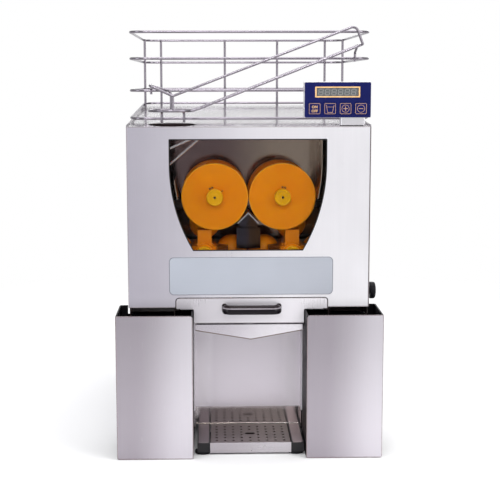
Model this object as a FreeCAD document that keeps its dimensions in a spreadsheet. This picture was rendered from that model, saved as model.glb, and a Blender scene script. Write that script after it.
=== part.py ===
import FreeCAD, Part
import math
import os
import Sketcher
from FreeCAD import Vector as V

# Automatic orange juicer: counter-top citrus press with a wire fruit basket.
# Millimetres, +Z up, front towards -Y, origin under the middle of the footprint.

os.makedirs("parts", exist_ok=True)
doc = FreeCAD.newDocument("juicer")
dims = doc.addObject("Spreadsheet::Sheet", "dims")


class E:
    """A length that knows both its value and the sheet formula it comes from."""

    def __init__(self, v, t):
        self.v = float(v)
        self.t = t

    def _o(self, o):
        return o if isinstance(o, E) else E(o, "(%.6f)" % o)

    def __add__(self, o):
        o = self._o(o)
        return E(self.v + o.v, "(%s + %s)" % (self.t, o.t))

    __radd__ = __add__

    def __sub__(self, o):
        o = self._o(o)
        return E(self.v - o.v, "(%s - %s)" % (self.t, o.t))

    def __rsub__(self, o):
        o = self._o(o)
        return E(o.v - self.v, "(%s - %s)" % (o.t, self.t))

    def __mul__(self, o):
        o = self._o(o)
        return E(self.v * o.v, "(%s * %s)" % (self.t, o.t))

    __rmul__ = __mul__

    def __truediv__(self, o):
        o = self._o(o)
        return E(self.v / o.v, "(%s / %s)" % (self.t, o.t))

    def __neg__(self):
        return E(-self.v, "(0 - %s)" % self.t)


def val(e):
    return e.v if isinstance(e, E) else float(e)


_row = [0]


def dim(name, value):
    _row[0] += 1
    r = _row[0]
    dims.set("A%d" % r, name)
    dims.set("B%d" % r, repr(float(value)))
    dims.setAlias("B%d" % r, name)
    return E(value, "dims." + name)


# ---------------------------------------------------------------- dimensions
half_w = dim("half_width", 235.0)          # bins' outer sides
half_d = dim("half_depth", 310.0)          # bins' front plates and tray's rear edge
skin = dim("sheet_thick", 1.5)             # housing sheet
body_hw = dim("housing_half_width", 215.0)
cov_y = dim("cover_front_y", -260.0)
cov_z0 = dim("cover_bottom_z", 264.0)
cov_z1 = dim("cover_top_z", 586.0)
win_cx = dim("window_centre_x", -1.6)
win_hw = dim("window_half_width", 139.4)
win_z1 = dim("window_top_z", 564.4)
win_zk = dim("window_curve_z", 520.0)
win_z0 = dim("window_bottom_z", 366.0)
win_hb = dim("window_bottom_half", 97.7)
win_rad = dim("window_side_radius", 305.2)
lab_x0 = dim("label_left_x", -142.0)
lab_x1 = dim("label_right_x", 149.8)
lab_z0 = dim("label_bottom_z", 287.0)
lab_z1 = dim("label_top_z", 355.0)
slope = dim("tray_slope", 0.04366)         # rise per mm of depth of the top tray
wall_y = dim("chamber_wall_y", -112.0)
spl_y = dim("splash_y", -174.0)
low_y = dim("lower_front_y", -202.0)
base_z = dim("base_underside_z", 22.0)
bin_z = dim("bin_height", 259.0)
bin_in = dim("bin_inner_x", 100.3)
bin_back = dim("bin_back_y", -205.0)
dw_x0 = dim("drawer_left_x", -130.0)
dw_x1 = dim("drawer_right_x", 140.5)
dw_z1 = dim("drawer_top_z", 280.5)
dw_hn = dim("drawer_lower_half", 98.5)
dw_z0 = dim("drawer_bottom_z", 235.3)
up_x = dim("upper_axis_x", 60.5)
up_z = dim("upper_axis_z", 460.0)
lo_x = dim("lower_axis_x", 79.0)
lo_z = dim("lower_axis_z", 357.0)
disc_rad = dim("cup_disc_radius", 59.5)
mid_rad = dim("cup_body_radius", 57.5)
cup_rad = dim("cup_radius", 37.5)
cup_pc = dim("cup_pitch_radius", 60.0)
ball_rad = dim("ball_radius", 28.0)
ball_pc = dim("ball_pitch_radius", 49.5)
drum_y0 = dim("drum_front_y", -238.0)
drum_y1 = dim("drum_rear_y", -124.0)
drum_ym = dim("drum_mid_y", -181.0)
disc_y = dim("drum_disc_rear_y", -227.0)
web_w = dim("press_web_width", 25.0)
web_r = dim("press_web_reach", 42.5)
shaft_rad = dim("shaft_radius", 9.0)
knob_rad = dim("drum_knob_radius", 15.0)
gear_a = dim("gear_a_pitch_radius", 60.5)
rail_d = dim("basket_wire", 5.0)
ramp_d = dim("ramp_wire", 4.5)
bk_x0 = dim("basket_left_x", -214.0)
bk_x1 = dim("basket_right_x", 224.0)
bk_y0 = dim("basket_front_y", -160.0)
bk_y1 = dim("basket_rear_y", 285.0)
rail_z1 = dim("rail_low_z", 597.0)
rail_z2 = dim("rail_second_z", 648.0)
rail_z3 = dim("rail_third_z", 706.0)
rail_z4 = dim("rail_top_z", 754.0)
hole_x = dim("feed_hole_x", -136.0)
hole_y = dim("feed_hole_y", -215.0)
hole_rad = dim("feed_hole_radius", 42.0)
ring_rad = dim("feed_ring_radius", 41.0)
ring_z = dim("feed_ring_z", 613.0)
box_x0 = dim("control_left_x", 98.0)
box_x1 = dim("control_right_x", 215.0)
box_z0 = dim("control_bottom_z", 601.0)
box_z1 = dim("control_top_z", 663.0)
box_y = dim("control_front_y", -250.0)
tray_x0 = dim("drip_left_x", -69.5)
tray_x1 = dim("drip_right_x", 74.0)
tray_y0 = dim("drip_front_y", -286.0)
tray_y1 = dim("drip_rear_y", -176.0)
drip_pitch = dim("drip_hole_pitch", 15.2)
drip_row = dim("drip_row_pitch", 16.0)
drip_rad = dim("drip_hole_radius", 2.6)
doc.recompute()

nodes = []          # (object, node name)


def keep(obj, name):
    obj.Label = name
    nodes.append((obj, name))
    return obj


def bind(obj, prop, e):
    if isinstance(e, E):
        obj.setExpression(prop, e.t)
    else:
        head = prop.split(".")
        if len(head) == 1:
            setattr(obj, prop, float(e))
        else:
            obj.setExpression(prop, "%.6f" % float(e))


def tray_top(y):
    return cov_z1 + (y - cov_y) * slope


# ---------------------------------------------------------------- primitives
_n = [0]


def nm(s):
    _n[0] += 1
    return "%s_%d" % (s, _n[0])


def pbox(x0, x1, y0, y1, z0, z1, name=None):
    o = doc.addObject("Part::Box", nm(name or "block"))
    bind(o, "Length", x1 - x0)
    bind(o, "Width", y1 - y0)
    bind(o, "Height", z1 - z0)
    bind(o, "Placement.Base.x", x0)
    bind(o, "Placement.Base.y", y0)
    bind(o, "Placement.Base.z", z0)
    return o


def pcyl(rad, x, y, z, length, axis="y", name=None):
    """Round bar starting at (x, y, z) and running the given length along +axis."""
    o = doc.addObject("Part::Cylinder", nm(name or "round"))
    if axis == "y":
        o.Placement = FreeCAD.Placement(V(0, 0, 0), FreeCAD.Rotation(V(1, 0, 0), -90))
    elif axis == "x":
        o.Placement = FreeCAD.Placement(V(0, 0, 0), FreeCAD.Rotation(V(0, 1, 0), 90))
    bind(o, "Radius", rad)
    bind(o, "Height", length)
    bind(o, "Placement.Base.x", x)
    bind(o, "Placement.Base.y", y)
    bind(o, "Placement.Base.z", z)
    return o


def fuse(objs, name="joined"):
    if len(objs) == 1:
        return objs[0]
    o = doc.addObject("Part::MultiFuse", nm(name))
    o.Shapes = objs
    o.Refine = True
    return o


def cut(base, tools, name="cutout"):
    o = doc.addObject("Part::Cut", nm(name))
    o.Base = base
    o.Tool = fuse(tools, "tool")
    o.Refine = True
    return o


def group(objs, name="group"):
    o = doc.addObject("Part::Compound", nm(name))
    o.Links = objs
    return o


# ---------------------------------------------------------------- bodies
def new_body(name):
    b = doc.addObject("PartDesign::Body", nm(name))
    return b


def rrect(x0, x1, y0, y1, rad):
    """Rounded rectangle, corner radius rad."""
    return [(x0 + rad, y0), (x1 - rad, y0, rad), (x1, y0 + rad), (x1, y1 - rad, rad),
            (x1 - rad, y1), (x0 + rad, y1, rad), (x0, y1 - rad), (x0, y0 + rad, rad)]


def rect(x0, x1, y0, y1):
    return [(x0, y0), (x1, y0), (x1, y1), (x0, y1)]


def sketch(body, plane, off, loops, circles=()):
    sk = body.newObject("Sketcher::SketchObject", nm("profile"))
    pl = [f for f in body.Origin.OriginFeatures if f.Role == plane][0]
    sk.AttachmentSupport = [(pl, "")]
    sk.MapMode = "FlatFace"
    if val(off) != 0.0:
        bind(sk, "AttachmentOffset.Base.z", off)
    cons = []
    exps = []

    def add(c, e=None):
        cons.append(c)
        exps.append(e)

    def pin(g, p, ex, ey):
        for kind, e, axis in (("DistanceX", ex, -2), ("DistanceY", ey, -1)):
            if abs(val(e)) < 1e-9:
                add(Sketcher.Constraint("PointOnObject", g, p, axis))
            else:
                add(Sketcher.Constraint(kind, -1, 1, g, p, val(e)), e if isinstance(e, E) else None)

    for pts in loops:
        base = sk.GeometryCount
        n = len(pts)
        first = []
        last = []
        for i in range(n):
            a = pts[i]
            b = pts[(i + 1) % n]
            ax, ay, bx, by = val(a[0]), val(a[1]), val(b[0]), val(b[1])
            if len(a) == 3:
                r = a[2]
                rv = abs(val(r))
                ccw = val(r) > 0
                mx, my = (ax + bx) / 2, (ay + by) / 2
                dx, dy = bx - ax, by - ay
                L = math.hypot(dx, dy)
                hgt = math.sqrt(max(rv * rv - L * L / 4, 0.0))
                s = 1.0 if ccw else -1.0
                cx, cy = mx - s * dy / L * hgt, my + s * dx / L * hgt
                a0 = math.atan2(ay - cy, ax - cx)
                a1 = math.atan2(by - cy, bx - cx)
                circ = Part.Circle(V(cx, cy, 0), V(0, 0, 1), rv)
                if ccw:
                    if a1 < a0:
                        a1 += 2 * math.pi
                    sk.addGeometry(Part.ArcOfCircle(circ, a0, a1), False)
                    first.append(1)
                    last.append(2)
                else:
                    if a0 < a1:
                        a0 += 2 * math.pi
                    sk.addGeometry(Part.ArcOfCircle(circ, a1, a0), False)
                    first.append(2)
                    last.append(1)
                g = base + i
                rr = r if val(r) > 0 else (-r if isinstance(r, E) else -float(r))
                add(Sketcher.Constraint("Radius", g, rv), rr if isinstance(rr, E) else None)
            else:
                sk.addGeometry(Part.LineSegment(V(ax, ay, 0), V(bx, by, 0)), False)
                first.append(1)
                last.append(2)
        for i in range(n):
            g = base + i
            h = base + (i + 1) % n
            add(Sketcher.Constraint("Coincident", g, last[i], h, first[(i + 1) % n]))
            pin(g, first[i], pts[i][0], pts[i][1])
    for cx, cy, r in circles:
        g = sk.GeometryCount
        sk.addGeometry(Part.Circle(V(val(cx), val(cy), 0), V(0, 0, 1), val(r)), False)
        pin(g, 3, cx, cy)
        add(Sketcher.Constraint("Radius", g, val(r)), r if isinstance(r, E) else None)
    sk.addConstraint(cons)
    for i, e in enumerate(exps):
        if e is not None:
            sk.setExpression("Constraints[%d]" % i, e.t)
    return sk


def pad(body, plane, off, length, loops, circles=(), rev=False):
    sk = sketch(body, plane, off, loops, circles)
    f = body.newObject("PartDesign::Pad", nm("pad"))
    f.Profile = sk
    bind(f, "Length", length)
    f.Reversed = rev
    sk.Visibility = False
    return f


def pocket(body, plane, off, length, loops, circles=(), rev=False):
    """Cut that runs against the plane's normal, or along it when rev is set."""
    sk = sketch(body, plane, off, loops, circles)
    f = body.newObject("PartDesign::Pocket", nm("pocket"))
    f.Profile = sk
    bind(f, "Length", length)
    f.Reversed = rev
    return f


def pad_xz(body, y0, y1, loops, circles=()):
    """Pad an X-Z profile from y0 (front) to y1 (rear)."""
    return pad(body, "XZ_Plane", -1.0 * y1 if isinstance(y1, E) else -float(y1), y1 - y0, loops, circles)


def cut_xz(body, y0, y1, loops, circles=()):
    """Cut an X-Z profile from y0 (front) to y1 (rear)."""
    return pocket(body, "XZ_Plane", -1.0 * y0 if isinstance(y0, E) else -float(y0), y1 - y0, loops, circles)


def pad_xy(body, z0, z1, loops, circles=()):
    return pad(body, "XY_Plane", z0, z1 - z0, loops, circles)


def cut_xy(body, z0, z1, loops, circles=()):
    """Cut an X-Y profile from z1 down to z0."""
    return pocket(body, "XY_Plane", z1, z1 - z0, loops, circles)


def pad_yz(body, x0, x1, loops, circles=()):
    return pad(body, "YZ_Plane", x0, x1 - x0, loops, circles)


def cut_yz(body, x0, x1, loops, circles=()):
    """Cut a Y-Z profile from x1 down to x0."""
    return pocket(body, "YZ_Plane", x1, x1 - x0, loops, circles)


def revolve(body, x, z, pts, ang0=0.0):
    """Turned piece about an axis along Y through (x, z); pts are (radius, y)."""
    sk = sketch(body, "XY_Plane", z, [[(x + r if val(r) != 0 else x, y) for r, y in pts]])
    f = body.newObject("PartDesign::Revolution", nm("turned"))
    f.Profile = sk
    # turning axis: a construction line in the sketch along Y
    g = sk.addGeometry(Part.LineSegment(V(val(x), -400, 0), V(val(x), 400, 0)), True)
    sk.addConstraint(Sketcher.Constraint("Vertical", g))
    c = sk.addConstraint(Sketcher.Constraint("DistanceX", -1, 1, g, 1, val(x)))
    if isinstance(x, E):
        sk.setExpression("Constraints[%d]" % c, x.t)
    f.ReferenceAxis = (sk, ["Axis0"])
    f.Angle = 360.0
    return f


def feature(shape, name):
    o = doc.addObject("Part::Feature", nm(name))
    o.Shape = shape
    return o


# ---------------------------------------------------------------- wire work
def rod(points, rad, bend):
    """Round wire through the points with tangent arcs of radius bend at its corners."""
    P = [V(*p) for p in points]
    edges = []
    cur = P[0]
    for i in range(1, len(P) - 1):
        a, b, c = P[i - 1], P[i], P[i + 1]
        u = (a - b).normalize()
        w = (c - b).normalize()
        ang = u.getAngle(w)
        turn = math.pi - ang
        if turn < 1e-3:
            continue
        t = bend * math.tan(turn / 2)
        t = min(t, 0.48 * (a - b).Length, 0.48 * (c - b).Length)
        r = t / math.tan(turn / 2)
        s, e = b + u * t, b + w * t
        mid_dir = (u + w).normalize()
        ctr = b + mid_dir * (r / math.sin(ang / 2))
        m = ctr - mid_dir * r
        if (s - cur).Length > 1e-6:
            edges.append(Part.LineSegment(cur, s).toShape())
        edges.append(Part.Arc(s, m, e).toShape())
        cur = e
    if (P[-1] - cur).Length > 1e-6:
        edges.append(Part.LineSegment(cur, P[-1]).toShape())
    path = Part.Wire(edges)
    d = (P[1] - P[0]).normalize()
    prof = Part.Wire([Part.Circle(P[0], d, rad).toShape()])
    return path.makePipeShell([prof], True, False)


def ring_loop(points, rad, bend):
    """Closed wire loop with rounded corners."""
    P = [V(*p) for p in points]
    n = len(P)
    tang = []
    for i in range(n):
        a, b, c = P[i - 1], P[i], P[(i + 1) % n]
        u = (a - b).normalize()
        w = (c - b).normalize()
        ang = u.getAngle(w)
        t = bend * math.tan((math.pi - ang) / 2)
        md = (u + w).normalize()
        ctr = b + md * (bend / math.sin(ang / 2))
        tang.append((b + u * t, ctr - md * bend, b + w * t))
    edges = []
    for i in range(n):
        s, m, e = tang[i]
        edges.append(Part.Arc(s, m, e).toShape())
        edges.append(Part.LineSegment(e, tang[(i + 1) % n][0]).toShape())
    path = Part.Wire(edges)
    s0 = tang[0][2]
    s1 = tang[1][0]
    prof_p = s0 + (s1 - s0) * 0.5
    # start the sweep half way along the first straight
    first = Part.LineSegment(prof_p, s1).toShape()
    rest = edges[2:] + [edges[0]]
    end = Part.LineSegment(s0, prof_p).toShape()
    path = Part.Wire([first] + rest + [end])
    prof = Part.Wire([Part.Circle(prof_p, (s1 - s0).normalize(), rad).toShape()])
    return path.makePipeShell([prof], True, False)


def weld(shapes):
    s = shapes[0].fuse(shapes[1:])
    return s


# ================================================================ housing
# base plate: closes the housing below, recessed behind the glass area
b = new_body("base")
pad_xy(b, base_z, base_z + 2.0, [[(-(body_hw - skin), low_y + skin), (-(bin_in - 0.3), low_y + skin),
                                  (-(bin_in - 0.3), spl_y + skin), (bin_in - 0.3, spl_y + skin),
                                  (bin_in - 0.3, low_y + skin), (body_hw - skin, low_y + skin),
                                  (body_hw - skin, half_d - 4.5), (-(body_hw - skin), half_d - 4.5)]])
keep(b, "base_plate")

# folded lower front: splash panel between the bins and the flanges behind them
b = new_body("splash")
t = skin
ix = bin_in - 1.8
pad_xy(b, base_z, base_z + 210.0, [[(-(body_hw - skin), low_y), (-ix, low_y), (-ix, spl_y), (ix, spl_y), (ix, low_y),
                                    (body_hw - skin, low_y), (body_hw - skin, low_y + t), (ix + t, low_y + t),
                                    (ix + t, spl_y + t), (-(ix + t), spl_y + t), (-(ix + t), low_y + t),
                                    (-(body_hw - skin), low_y + t)]])
# two pegs that carry the juice tray
pad_xz(b, spl_y - 40.0, spl_y, [], [(-88.0, 217.2, 2.5), (88.0, 217.2, 2.5)])
keep(b, "splash_panel")

# side panels
knob_y, knob_z = -234.0, 289.0
panels = []
for side in (-1.0, 1.0):
    b = new_body("side")
    x0 = -1.0 * body_hw if side < 0 else body_hw - skin
    ye = half_d - 4.6
    pad_yz(b, x0, x0 + skin, [[(low_y, base_z), (ye, base_z), (ye, tray_top(ye) - 1.56),
                               (cov_y + 8.5, tray_top(cov_y + 8.5) - 1.56), (cov_y + 8.5, cov_z0 + 1.0),
                               (low_y, cov_z0 + 1.0)]])
    if side > 0:
        cut_yz(b, x0 - 1.0, x0 + 3.0, [], [(knob_y, knob_z, 4.06)])
    panels.append(b)
keep(group(panels, "sides"), "side_panels")

# rear cover with two columns of vent slots and the mains inlet cut-out
b = new_body("rear")
ry0, ry1 = half_d - 4.5, half_d - 3.0
pad_xz(b, ry0, ry1, [rect(-1.0 * body_hw, body_hw, base_z, tray_top(half_d) - 14.0)])
slots = []
for cx in (-95.0, 95.0):
    slots.append(rrect(E(cx - 55.0, "(%.1f)" % (cx - 55.0)), E(cx + 55.0, "(%.1f)" % (cx + 55.0)), E(300.0, "300"),
                       E(304.0, "304"), E(1.99, "1.99")))
pk = cut_xz(b, ry0 - 2.0, ry1 + 2.0, slots)
doc.recompute()
pat = b.newObject("PartDesign::LinearPattern", nm("vent_rows"))
pat.Originals = [pk]
pat.Direction = ([f for f in b.Origin.OriginFeatures if f.Role == "Z_Axis"][0], [""])
pat.Length = 180.0
pat.Occurrences = 16
b.Tip = pat
doc.recompute()
cut_xz(b, ry0 - 2.0, ry1 + 2.0, [rrect(E(-164.0, "(0-164)"), E(-136.0, "(0-136)"), E(90.0, "90"), E(112.0, "112"),
                                       E(0.2, "0.2"))])
keep(b, "rear_cover")

# mains inlet: flange, cup and three pins
xi, zi = -150.0, 101.0
inl = cut(fuse([pbox(xi - 24.0, xi + 24.0, 307.0, 309.0, zi - 15.0, zi + 15.0),
                pbox(xi - 13.9, xi + 13.9, 285.0, 307.0, zi - 10.9, zi + 10.9)]),
          [pbox(xi - 12.0, xi + 12.0, 289.0, 310.0, zi - 8.5, zi + 8.5)])
pins = [pbox(xi - 1.0 + dx, xi + 1.0 + dx, 288.0, 304.0, zi - 2.0 + dz, zi + 2.0 + dz)
        for dx, dz in ((-7.0, -2.0), (0.0, 3.0), (7.0, -2.0))]
keep(fuse([inl] + pins), "power_inlet")

# sloped top tray with side lips, rear lip and the fruit feed hole
b = new_body("tray")
yf = cov_y + 2.0
pad_yz(b, -1.0 * body_hw, body_hw, [[(yf, tray_top(yf) - 1.5), (half_d - 1.5, tray_top(half_d - 1.5) - 1.5),
                                     (half_d - 1.5, tray_top(half_d) - 12.0), (half_d, tray_top(half_d) - 12.0),
                                     (half_d, tray_top(half_d)), (yf, tray_top(yf))]])
for x0 in (-1.0 * body_hw, body_hw - skin):
    pad_yz(b, x0, x0 + skin, [[(yf, tray_top(yf) - 1.0), (half_d, tray_top(half_d) - 1.0),
                               (half_d, tray_top(half_d) + 3.0), (yf, tray_top(yf) + 3.0)]])
cut_xy(b, E(560.0, "560"), E(640.0, "640"), [], [(hole_x, hole_y, hole_rad)])
keep(b, "top_tray")

# chamber wall with the floor shelf behind the splash panel and four shaft holes
b = new_body("wall")
wt = tray_top(wall_y) - 2.0
pad_yz(b, -(body_hw - skin), body_hw - skin,
       [[(spl_y + t, base_z + 208.6), (wall_y + t, base_z + 208.6), (wall_y + t, wt), (wall_y, wt),
         (wall_y, base_z + 210.0), (spl_y + t, base_z + 210.0)]])
cut_xz(b, wall_y - 2.0, wall_y + 4.0, [], [(-up_x, up_z, 12.0), (up_x, up_z, 12.0),
                                           (-lo_x, lo_z, 12.0), (lo_x, lo_z, 12.0)])
keep(b, "chamber_wall")

# peel chutes: inner wall with drawer rail, sloping back, outer wall; open below, above and in front
chutes = []
for side in (-1, 1):
    xin = E(-133.0, "(0-133)") if side < 0 else E(143.0, "143")
    xout = -(body_hw - skin) if side < 0 else body_hw - skin
    yb = wall_y - 0.1
    lo_lip, inner_top, outer_top = 246.0, 290.0, 332.0
    yl = bin_back - 7.0
    b = new_body("chute")
    x_inner = (xin - 1.2, xin) if side < 0 else (xin, xin + 1.2)
    x_outer = (xout, xout + 1.2) if side < 0 else (xout - 1.2, xout)
    xs = (xout, xin) if side < 0 else (xin, xout)
    # sloping back sheet
    pad_yz(b, xs[0], xs[1], [[(yl, lo_lip), (yb, outer_top - 1.6), (yb, outer_top), (yl, lo_lip + 1.6)]])
    y_top = yl + 0.5 + (yb - yl - 0.5) * 0.5176
    pad_yz(b, x_inner[0], x_inner[1], [[(cov_y + 6.0, lo_lip), (yl + 0.5, lo_lip), (y_top, inner_top), (cov_y + 6.0, inner_top)]])
    pad_yz(b, x_outer[0], x_outer[1], [[(cov_y + 9.0, lo_lip), (yl + 0.5, lo_lip), (yb, outer_top - 1.0),
                                        (yb, outer_top + 20.0), (cov_y + 9.0, outer_top + 20.0)]])
    if side < 0:
        pad_xz(b, cov_y + 8.0, wall_y - 6.0, [rect(xin - 0.5, xin + 8.0, 257.0, 259.4)])
    else:
        pad_xz(b, cov_y + 8.0, wall_y - 6.0, [rect(xin - 8.0, xin + 0.5, 257.0, 259.4)])
    chutes.append(b)
keep(group(chutes), "peel_chutes")

# base arms beside the drip tray, with inner ledges that carry it
arms = []
for x0, x1, lx0, lx1 in ((-93.5, -71.0, -72.0, -64.0), (75.5, 98.0, 68.5, 76.5)):
    hull = pbox(E(x0, "(%.1f)" % x0), E(x1, "(%.1f)" % x1), tray_y0 - 2.0, E(40.0, "40"), E(5.0, "5"), base_z)
    core = pbox(x0 + 2.0, x1 - 2.0, -280.0, 41.0, 7.0, 20.0)
    ledge = pbox(lx0, lx1, -282.0, -178.0, 5.0, 7.0)
    arms.append(fuse([cut(hull, [core]), ledge]))
keep(group(arms), "base_arms")

# feet: two small round feet under the arms, two larger ones at the rear corners
feet = []
for x in (-84.0, 83.5):
    feet.append(fuse([pcyl(14.0, x, -272.0, 0.0, 4.0, "z"), pcyl(9.0, x, -272.0, 3.5, 1.5, "z")]))
for x in (-180.0, 180.0):
    feet.append(fuse([pcyl(19.0, x, 262.0, 0.0, 5.0, "z"), pcyl(13.0, x, 262.0, 4.5, 17.5, "z")]))
keep(group(feet), "feet")

# ================================================================ press train
AXES = {"upper_left": (-up_x, up_z), "upper_right": (up_x, up_z), "lower_left": (-lo_x, lo_z), "lower_right": (lo_x, lo_z)}
mesh_ang = math.degrees(math.atan2(lo_z.v - up_z.v, -lo_x.v + up_x.v))       # from upper left axis to lower left axis
lead = -10.2                                                                 # rest position of the train
cup0 = {"upper_left": mesh_ang + lead, "upper_right": 180.0 - (mesh_ang + lead)}
ball0 = {"lower_left": mesh_ang + 180.0 - lead, "lower_right": 180.0 - (mesh_ang + 180.0 - lead)}

for name in ("upper_left", "upper_right"):
    ax, az = AXES[name]
    b = new_body("cupdisc")
    revolve(b, ax, az, [(shaft_rad, drum_y0), (disc_rad - 1.5, drum_y0), (disc_rad, drum_y0 + 1.5), (disc_rad, disc_y),
                        (shaft_rad, disc_y)])
    keep(b, "drum_disc_" + name.split("_")[1])
    b = new_body("cupdrum")
    y_a, y_b = drum_ym - 38.5, drum_ym + 38.5
    g0 = 4.5
    revolve(b, ax, az, [(shaft_rad, disc_y), (disc_rad, disc_y), (disc_rad, y_a),
                        (mid_rad, y_a + 1.0), (mid_rad, drum_ym - g0), (30.0, drum_ym - g0), (30.0, drum_ym + g0),
                        (mid_rad, drum_ym + g0), (mid_rad, y_b - 1.0), (disc_rad, y_b), (disc_rad, drum_y1),
                        (shaft_rad, drum_y1)])
    cups = []
    for k in range(4):
        a = math.radians(cup0[name] + 90.0 * k)
        s = doc.addObject("Part::Sphere", nm("cup"))
        bind(s, "Radius", cup_rad)
        bind(s, "Placement.Base.x", ax + cup_pc * math.cos(a))
        bind(s, "Placement.Base.y", drum_ym)
        bind(s, "Placement.Base.z", az + cup_pc * math.sin(a))
        cups.append(s)
    keep(cut(b, cups), "cup_drum_" + name.split("_")[1])

for name in ("lower_left", "lower_right"):
    ax, az = AXES[name]
    b = new_body("hub")
    revolve(b, ax, az, [(shaft_rad, drum_y0), (18.0, drum_y0), (18.0, drum_ym - 32.0), (21.0, drum_ym - 30.0),
                        (21.0, drum_ym + 30.0), (18.0, drum_ym + 32.0), (18.0, drum_y1), (shaft_rad, drum_y1)])
    webs, balls = [], []
    for k in range(4):
        a = math.radians(ball0[name] + 90.0 * k)
        for seats in (webs, balls):
            w = doc.addObject("Part::Box", nm("web"))
            w.Placement = FreeCAD.Placement(V(0, 0, 0), FreeCAD.Rotation(V(0, 1, 0), -math.degrees(a)))
            bind(w, "Length", web_r - 12.0)
            bind(w, "Width", E(97.0, "97"))
            bind(w, "Height", web_w)
            bind(w, "Placement.Base.x", ax + 12.0 * math.cos(a) + 12.5 * math.sin(a))
            bind(w, "Placement.Base.y", drum_ym - 48.5)
            bind(w, "Placement.Base.z", az + 12.0 * math.sin(a) - 12.5 * math.cos(a))
            if seats is webs:
                webs.append(w)
        s = doc.addObject("Part::Sphere", nm("ball"))
        bind(s, "Radius", ball_rad)
        s.Placement = FreeCAD.Placement(V(0, 0, 0), FreeCAD.Rotation(V(0, 1, 0), -math.degrees(a)) * FreeCAD.Rotation(V(1, 0, 0), -90.0))
        bind(s, "Placement.Base.x", ax + ball_pc * math.cos(a))
        bind(s, "Placement.Base.y", drum_ym)
        bind(s, "Placement.Base.z", az + ball_pc * math.sin(a))
        core = pcyl(21.0, ax, drum_ym - 45.0, az, 90.0, "y")
        balls.append(cut(s, [w, core]))
    bore = pcyl(shaft_rad, ax, drum_y0 - 1.0, az, drum_y1 - drum_y0 + 2.0, "y")
    keep(cut(fuse([b] + webs), [bore]), "ball_drum_" + name.split("_")[1])
    keep(group(balls), "press_balls_" + name.split("_")[1])

# retaining knobs with a blind threaded seat on the shaft ends
for name in AXES:
    ax, az = AXES[name]
    b = new_body("knob")
    revolve(b, ax, az, [(5.0, drum_y0), (knob_rad - 0.6, drum_y0), (knob_rad, drum_y0 - 0.8), (knob_rad, drum_y0 - 12.5),
                        (knob_rad - 2.0, drum_y0 - 14.5), (2.2, drum_y0 - 14.5), (2.2, drum_y0 - 8.6), (5.0, drum_y0 - 8.6)])
    keep(b, "drum_knob_" + name)

# shafts: seat for the drum, threaded nose and rear journal; each is made in one with its gears
shafts = {}
for name in AXES:
    ax, az = AXES[name]
    b = new_body("shaft")
    sk = [(0.0, drum_y0 - 8.5), (5.0, drum_y0 - 8.5), (5.0, drum_y0), (shaft_rad, drum_y0), (shaft_rad, E(-20.0, "(0-20)")),
          (0.0, E(-20.0, "(0-20)"))]
    revolve(b, ax, az, sk)
    shafts[name] = b


# involute spur gear outline, tooth centred on the angle 'phase' (degrees)
def gear_shape(n, pitch_r, cx, cz, y0, y1, phase, bore, backlash=0.35):
    m = 2.0 * pitch_r / n
    rb = pitch_r * math.cos(math.radians(20.0))
    ra = pitch_r + 0.92 * m
    rf = pitch_r - 1.2 * m
    inv = math.tan(math.radians(20.0)) - math.radians(20.0)
    half = math.pi / (2 * n) - backlash / (2 * pitch_r)
    r0 = max(rb, rf + 0.05)
    pts = []
    for k in range(n):
        c = math.radians(phase) + 2 * math.pi * k / n
        left = []
        for i in range(5):
            r = r0 + (ra - r0) * i / 4.0
            al = math.acos(min(1.0, rb / r))
            left.append((r, half + inv - (math.tan(al) - al)))
        a_root = left[0][1]
        pts.append((rf, c - a_root - 0.002))
        for r, w in left:
            pts.append((r, c - w))
        for r, w in reversed(left):
            pts.append((r, c + w))
        pts.append((rf, c + a_root + 0.002))
    P = [V(cx + r * math.cos(a), y0, cz + r * math.sin(a)) for r, a in pts]
    w = Part.makePolygon(P + [P[0]])
    face = Part.Face(w)
    s = face.extrude(V(0, y1 - y0, 0))
    hole = Part.makeCylinder(bore, y1 - y0 + 2, V(cx, y0 - 1, cz), V(0, 1, 0))
    return s.cut(hole)


ga = gear_a.v
gb = 0.5 * math.hypot(lo_x.v - up_x.v, lo_z.v - up_z.v)
ya0, ya1, yb0, yb1 = -90.0, -76.0, -62.0, -48.0
N = 36
sr = shaft_rad.v
UL = gear_shape(N, ga, -up_x.v, up_z.v, ya0, ya1, 0.0, sr)
ULb = gear_shape(N, gb, -up_x.v, up_z.v, yb0, yb1, mesh_ang, sr)
UR = gear_shape(N, ga, up_x.v, up_z.v, ya0, ya1, 180.0 + 5.0, sr)
URb = gear_shape(N, gb, up_x.v, up_z.v, yb0, yb1, 180.0 - mesh_ang, sr)
LL = gear_shape(N, gb, -lo_x.v, lo_z.v, yb0, yb1, mesh_ang + 180.0 + 5.0, sr)
LR = gear_shape(N, gb, lo_x.v, lo_z.v, yb0, yb1, -mesh_ang + 5.0, sr)


def hub(cx, cz, y0, y1):
    o = Part.makeCylinder(17.0, y1 - y0, V(cx, y0, cz), V(0, 1, 0))
    return o.cut(Part.makeCylinder(sr, y1 - y0 + 2, V(cx, y0 - 1, cz), V(0, 1, 0)))


for name, shape in (("upper_left", weld([UL, ULb, hub(-up_x.v, up_z.v, ya1, yb0)])),
                    ("upper_right", weld([UR, URb, hub(up_x.v, up_z.v, ya1, yb0)])),
                    ("lower_left", LL), ("lower_right", LR)):
    keep(fuse([shafts[name], feature(shape, "gear")], "gear_shaft"), "gear_shaft_" + name)

# drive pinion above the upper right gear, 12 teeth against 36
pr = ga * 12.0 / N
px = up_x.v + (ga + pr) * math.cos(math.radians(60.0))
pz = up_z.v + (ga + pr) * math.sin(math.radians(60.0))
pin_s = gear_shape(12, pr, px, pz, ya0, ya1, 240.0, 6.9)
pin_shaft = Part.makeCylinder(7.0, 100.0, V(px, -92.0, pz), V(0, 1, 0))
keep(feature(weld([pin_s, pin_shaft]), "pinion"), "drive_pinion")

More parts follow.
